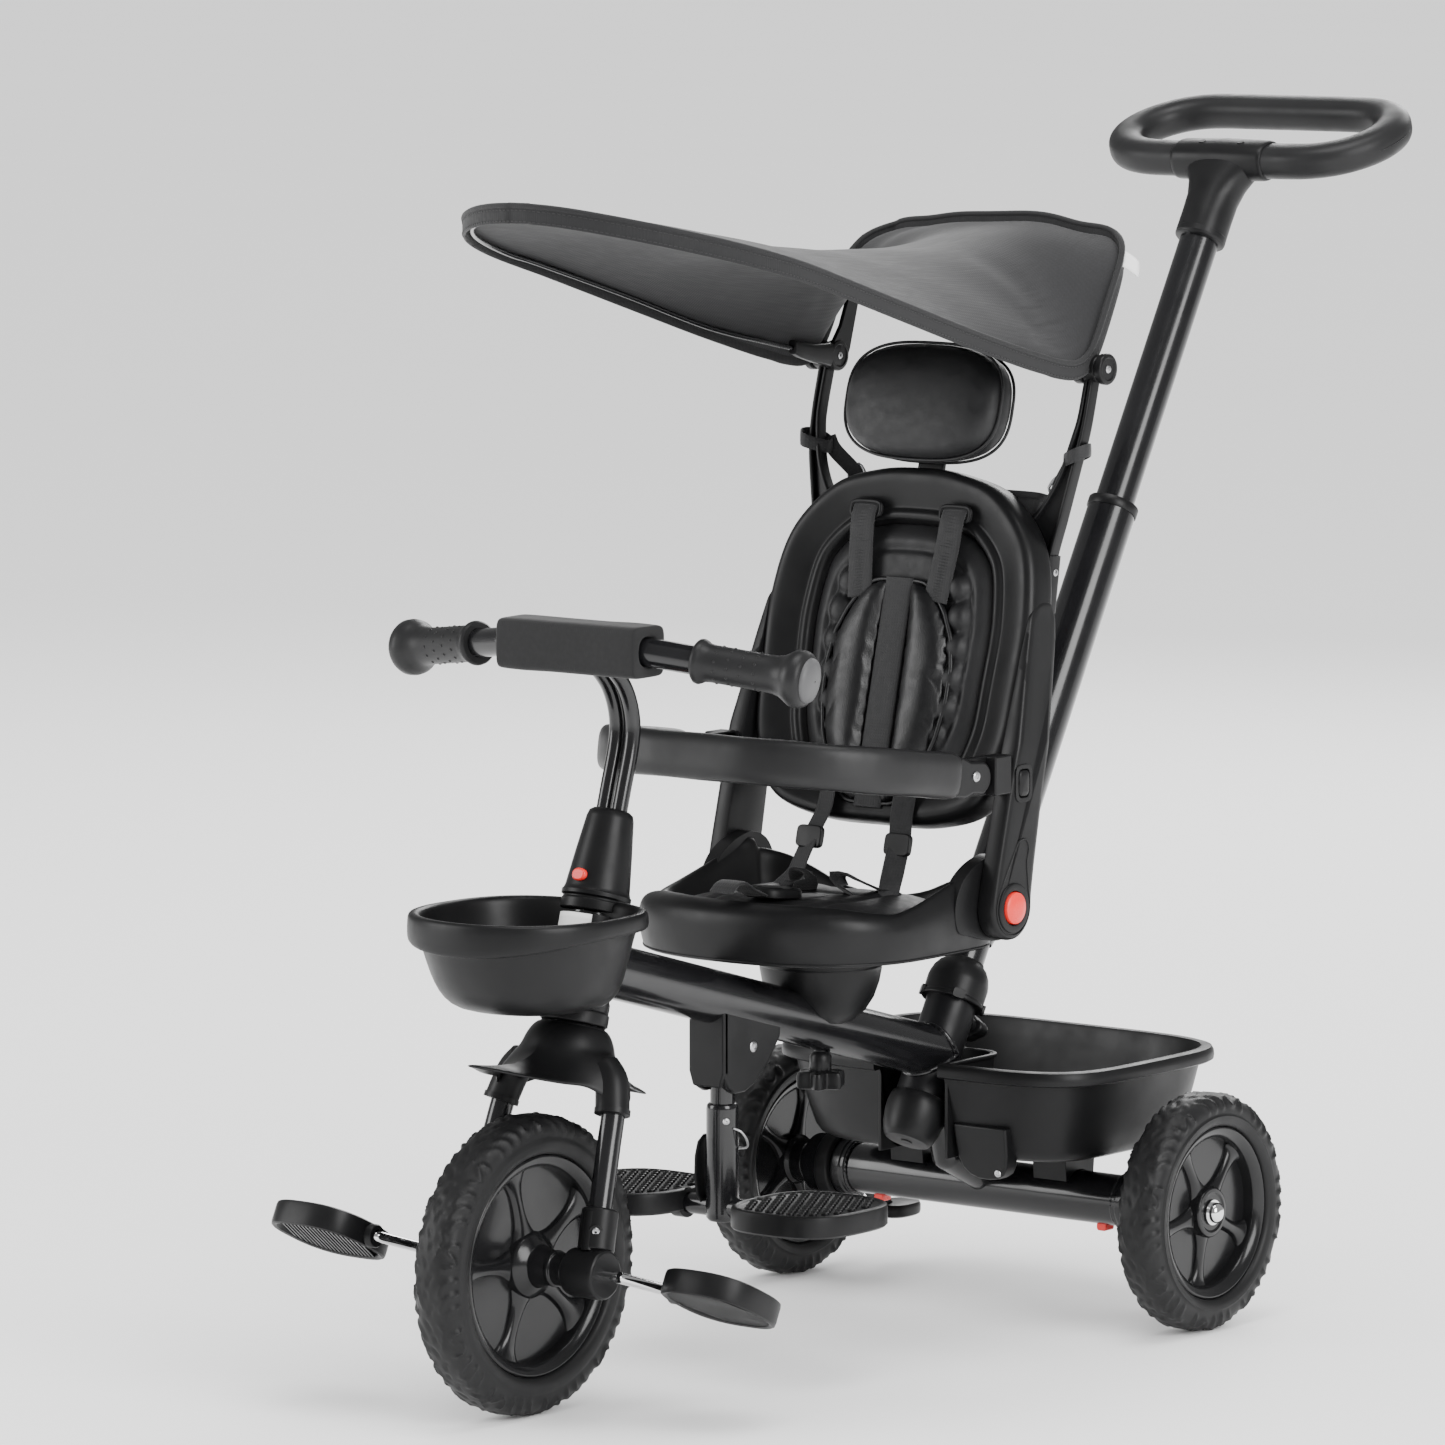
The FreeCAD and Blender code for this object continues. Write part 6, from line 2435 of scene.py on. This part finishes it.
def make_bag():
    levels = [
        (160.5, 20, 24, 34), (161.5, 70, 20, 46), (164, 88, 18.6, 52), (170, 96, 18, 57),
        (184, 100, 17.6, 61), (205, 101, 17.4, 62.5), (230, 100.5, 17.2, 61), (255, 100, 17.2, 57),
        (280, 99.5, 17.2, 52), (305, 99.5, 17.2, 48), (325, 99.5, 17.2, 45),
        (341, 99.5, 17.2, 43.5),
    ]
    dense = []
    ups = [l[0] for l in levels]
    for up in list(np.linspace(160.5, 172, 7)) + list(np.linspace(178, 341, 28)):
        dense.append(
            (up,) + tuple(float(np.interp(up, ups, [l[k] for l in levels])) for k in (1, 2, 3))
        )
    rows = [bag_ring(*level) for level in dense]
    rows.append(bag_ring(343.4, 98.6, 18, 42.8))
    rows.append(bag_ring(341, 97.5, 19, 41.6))
    for up, half, near, far in reversed(dense[6:-1]):
        rows.append(bag_ring(up, half - 2.4, near + 1.8, far - 2.2))
    rows.append(bag_ring(168, 30, 26, 44))
    bag = piece("bag_cloth", "backrest", "bag", *grid(rows), stands_for=["storage_bag"], sharp=80)
    trims = []
    rim = bag_ring(342.6, 99.4, 17.4, 43.6, 120)
    trims.append(
        swept(even(rim, 0.004, True), superellipse(2.2, 3.0, 3, 14), closed=True, keep_up=BACK_UP)
    )
    for side in (-1, 1):
        seam = [
            on_back(
                side * float(np.interp(up, ups, [l[1] for l in levels])) * 0.985, up,
                float(np.interp(up, ups, [l[3] for l in levels])) - 2.4,
            ) for up in np.linspace(166, 340, 40)
        ]
        trims.append(swept(even(seam, 0.005), circle(1.7, 10)))
    low = [
        on_back(
            x, 166 + 3.5 * (abs(x) / 95) ** 6, 56.8 + 2.2 * (1 - (x / 95) ** 2)
        ) for x in np.linspace(-94, 94, 40)
    ]
    trims.append(swept(even(low, 0.005), circle(1.7, 10)))
    pocket = [
        on_back(
            x, 268 + 3.0 * math.cos(x / 30), 58.6 + 1.6 * (1 - (x / 95) ** 2)
        ) for x in np.linspace(-92, 92, 40)
    ]
    trims.append(swept(even(pocket, 0.005), superellipse(4.0, 1.2, 3, 12), keep_up=BACK_OUT))
    hems = piece("bag_trims", "backrest", "hem", *joined(*trims), sharp=70)
    straps = []
    for side in (-1, 1):
        path = [
            on_back(side * 96, 318, 46), on_back(side * 97, 336, 46.5),
            on_back(side * 102, 352, 42), W(side * 121, -62, 722), W(side * 127, -63, 733),
        ]
        straps.append(ribbon(path, 13, 1.5, Vector((side * 0.5, 0.8, 0.1))))
        loop = [
            W(side * 128, -76, 727), W(side * 140, -82, 731), W(side * 147, -72, 735),
            W(side * 141, -60, 734), W(side * 127, -60, 728), W(side * 122, -68, 725),
        ]
        straps.append(
            swept(
                even(curve_through(loop, 60, True), 0.004, True), superellipse(0.9, 5.5, 3, 14),
                closed=True, keep_up=Z,
            )
        )
    strap = piece("bag_straps", "backrest", "webbing", *joined(*straps), sharp=60)
    rings = []
    for side in (-1, 1):
        ring = [
            on_back(side * 104 + u, 354 + v, 42) for u, v in (
                (-8, -4), (8, -4), (7, 3), (0, 9), (-7, 3)
            )
        ]
        rings.append(
            swept(even(curve_through(ring, 50, True), 0.003, True), circle(1.3, 10), closed=True)
        )
    piece("bag_rings", "backrest", "zinc", *joined(*rings), sharp=60)


make_bag()

# ---- push handle ----
LOOP_BACK = Vector((0, math.cos(math.radians(20)), math.sin(math.radians(20))))
LOOP_UP = Vector((0, -math.sin(math.radians(20)), math.cos(math.radians(20))))


def on_loop(x, back, up=0.0):
    return on_rod(902) + (X * x + LOOP_BACK * back + LOOP_UP * up) / 1000


def make_handle():
    half, straight_half = 55.0, 77.0
    line = [on_loop(x, 0) for x in (-60, -30, 0, 30, 60)]
    for a in range(-90, 91, 10):
        r = math.radians(a)
        line.append(on_loop(straight_half + half * math.cos(r), half + half * math.sin(r)))
    line += [on_loop(x, 2 * half) for x in (60, 30, 0, -30, -60)]
    for a in range(90, 271, 10):
        r = math.radians(a)
        line.append(on_loop(-straight_half + half * math.cos(r), half + half * math.sin(r)))
    path = even(line, 0.005, True)
    for _ in range(14):
        path = [
            (path[i - 1] + path[i] * 2 + path[(i + 1) % len(path)]) / 4 for i in range(len(path))
        ]
    piece(
        "handle_loop", "push_handle", "rubber",
        *swept(path, superellipse(16.2, 14.6, 2.5, 36), closed=True, keep_up=LOOP_UP),
        stands_for=["push_handle"], sharp=70,
    )
    seam = even([p + (p - on_loop(0, half)).normalized() * 0.0158 for p in path], 0.005, True)
    piece(
        "handle_parting_line", "push_handle", "rubber",
        *swept(seam, superellipse(0.9, 0.5, 2, 8), closed=True, keep_up=LOOP_UP), sharp=70,
    )
    # tee: a saddle round the bar that flows into the sleeve on the rod
    rows = []
    for x, across, up in (
        (-47, 16.6, 15), (-46, 17.6, 16), (-43, 18, 16.6), (-24, 18.4, 17), (0, 18.8, 17.6),
        (24, 18.4, 17), (43, 18, 16.6), (46, 17.6, 16), (47, 16.6, 15),
    ):
        rows.append([on_loop(x, u, v) for u, v in superellipse(across, up, 2.6, 40)])
    parts = [grid(rows)]
    rows = []
    for s, a, b in (
        (822, 20.2, 20.2), (823, 21.4, 21.4), (826, 21.8, 21.8), (846, 21.6, 21.6),
        (862, 22.5, 21.0), (876, 27, 20.0), (888, 35, 18.4), (896, 42, 17), (902, 44, 15),
    ):
        rows.append([on_rod(s, v, u) for u, v in superellipse(a, b, 2.15, 48)])
    parts.append(grid(rows))
    piece("handle_tee", "push_handle", "plastic", *joined(*parts), sharp=50)
    rows = []
    for s in (823.5, 824.5, 829, 830):
        rows.append([on_rod(s, v, u) for u, v in circle(22.3 if s in (824.5, 829) else 21.4, 48)])
    parts = [grid(rows, loop=False)]
    for side in (-1, 1):
        parts.append(straight(on_loop(side * 20, -1, 16.2), on_loop(side * 20, -1, 17.6), 3.6, 24))
    piece("handle_trim", "push_handle", "plastic", *joined(*parts), sharp=40)
    # end ring of the lower rod
    ring = [(17.6, 561), (21.7, 561), (22.1, 561.6), (22.1, 568.6), (21.6, 569.4), (17.6, 569.4)]
    piece(
        "rod_end_ring", "frame", "plastic", *turned(ring, W(0, ROD_Y, ROD_Z), ROD_UP, 48), sharp=40
    )
    screw("rod_snap_pin", "frame", on_rod(540, 21), ROD_BACK, 4.4)


make_handle()
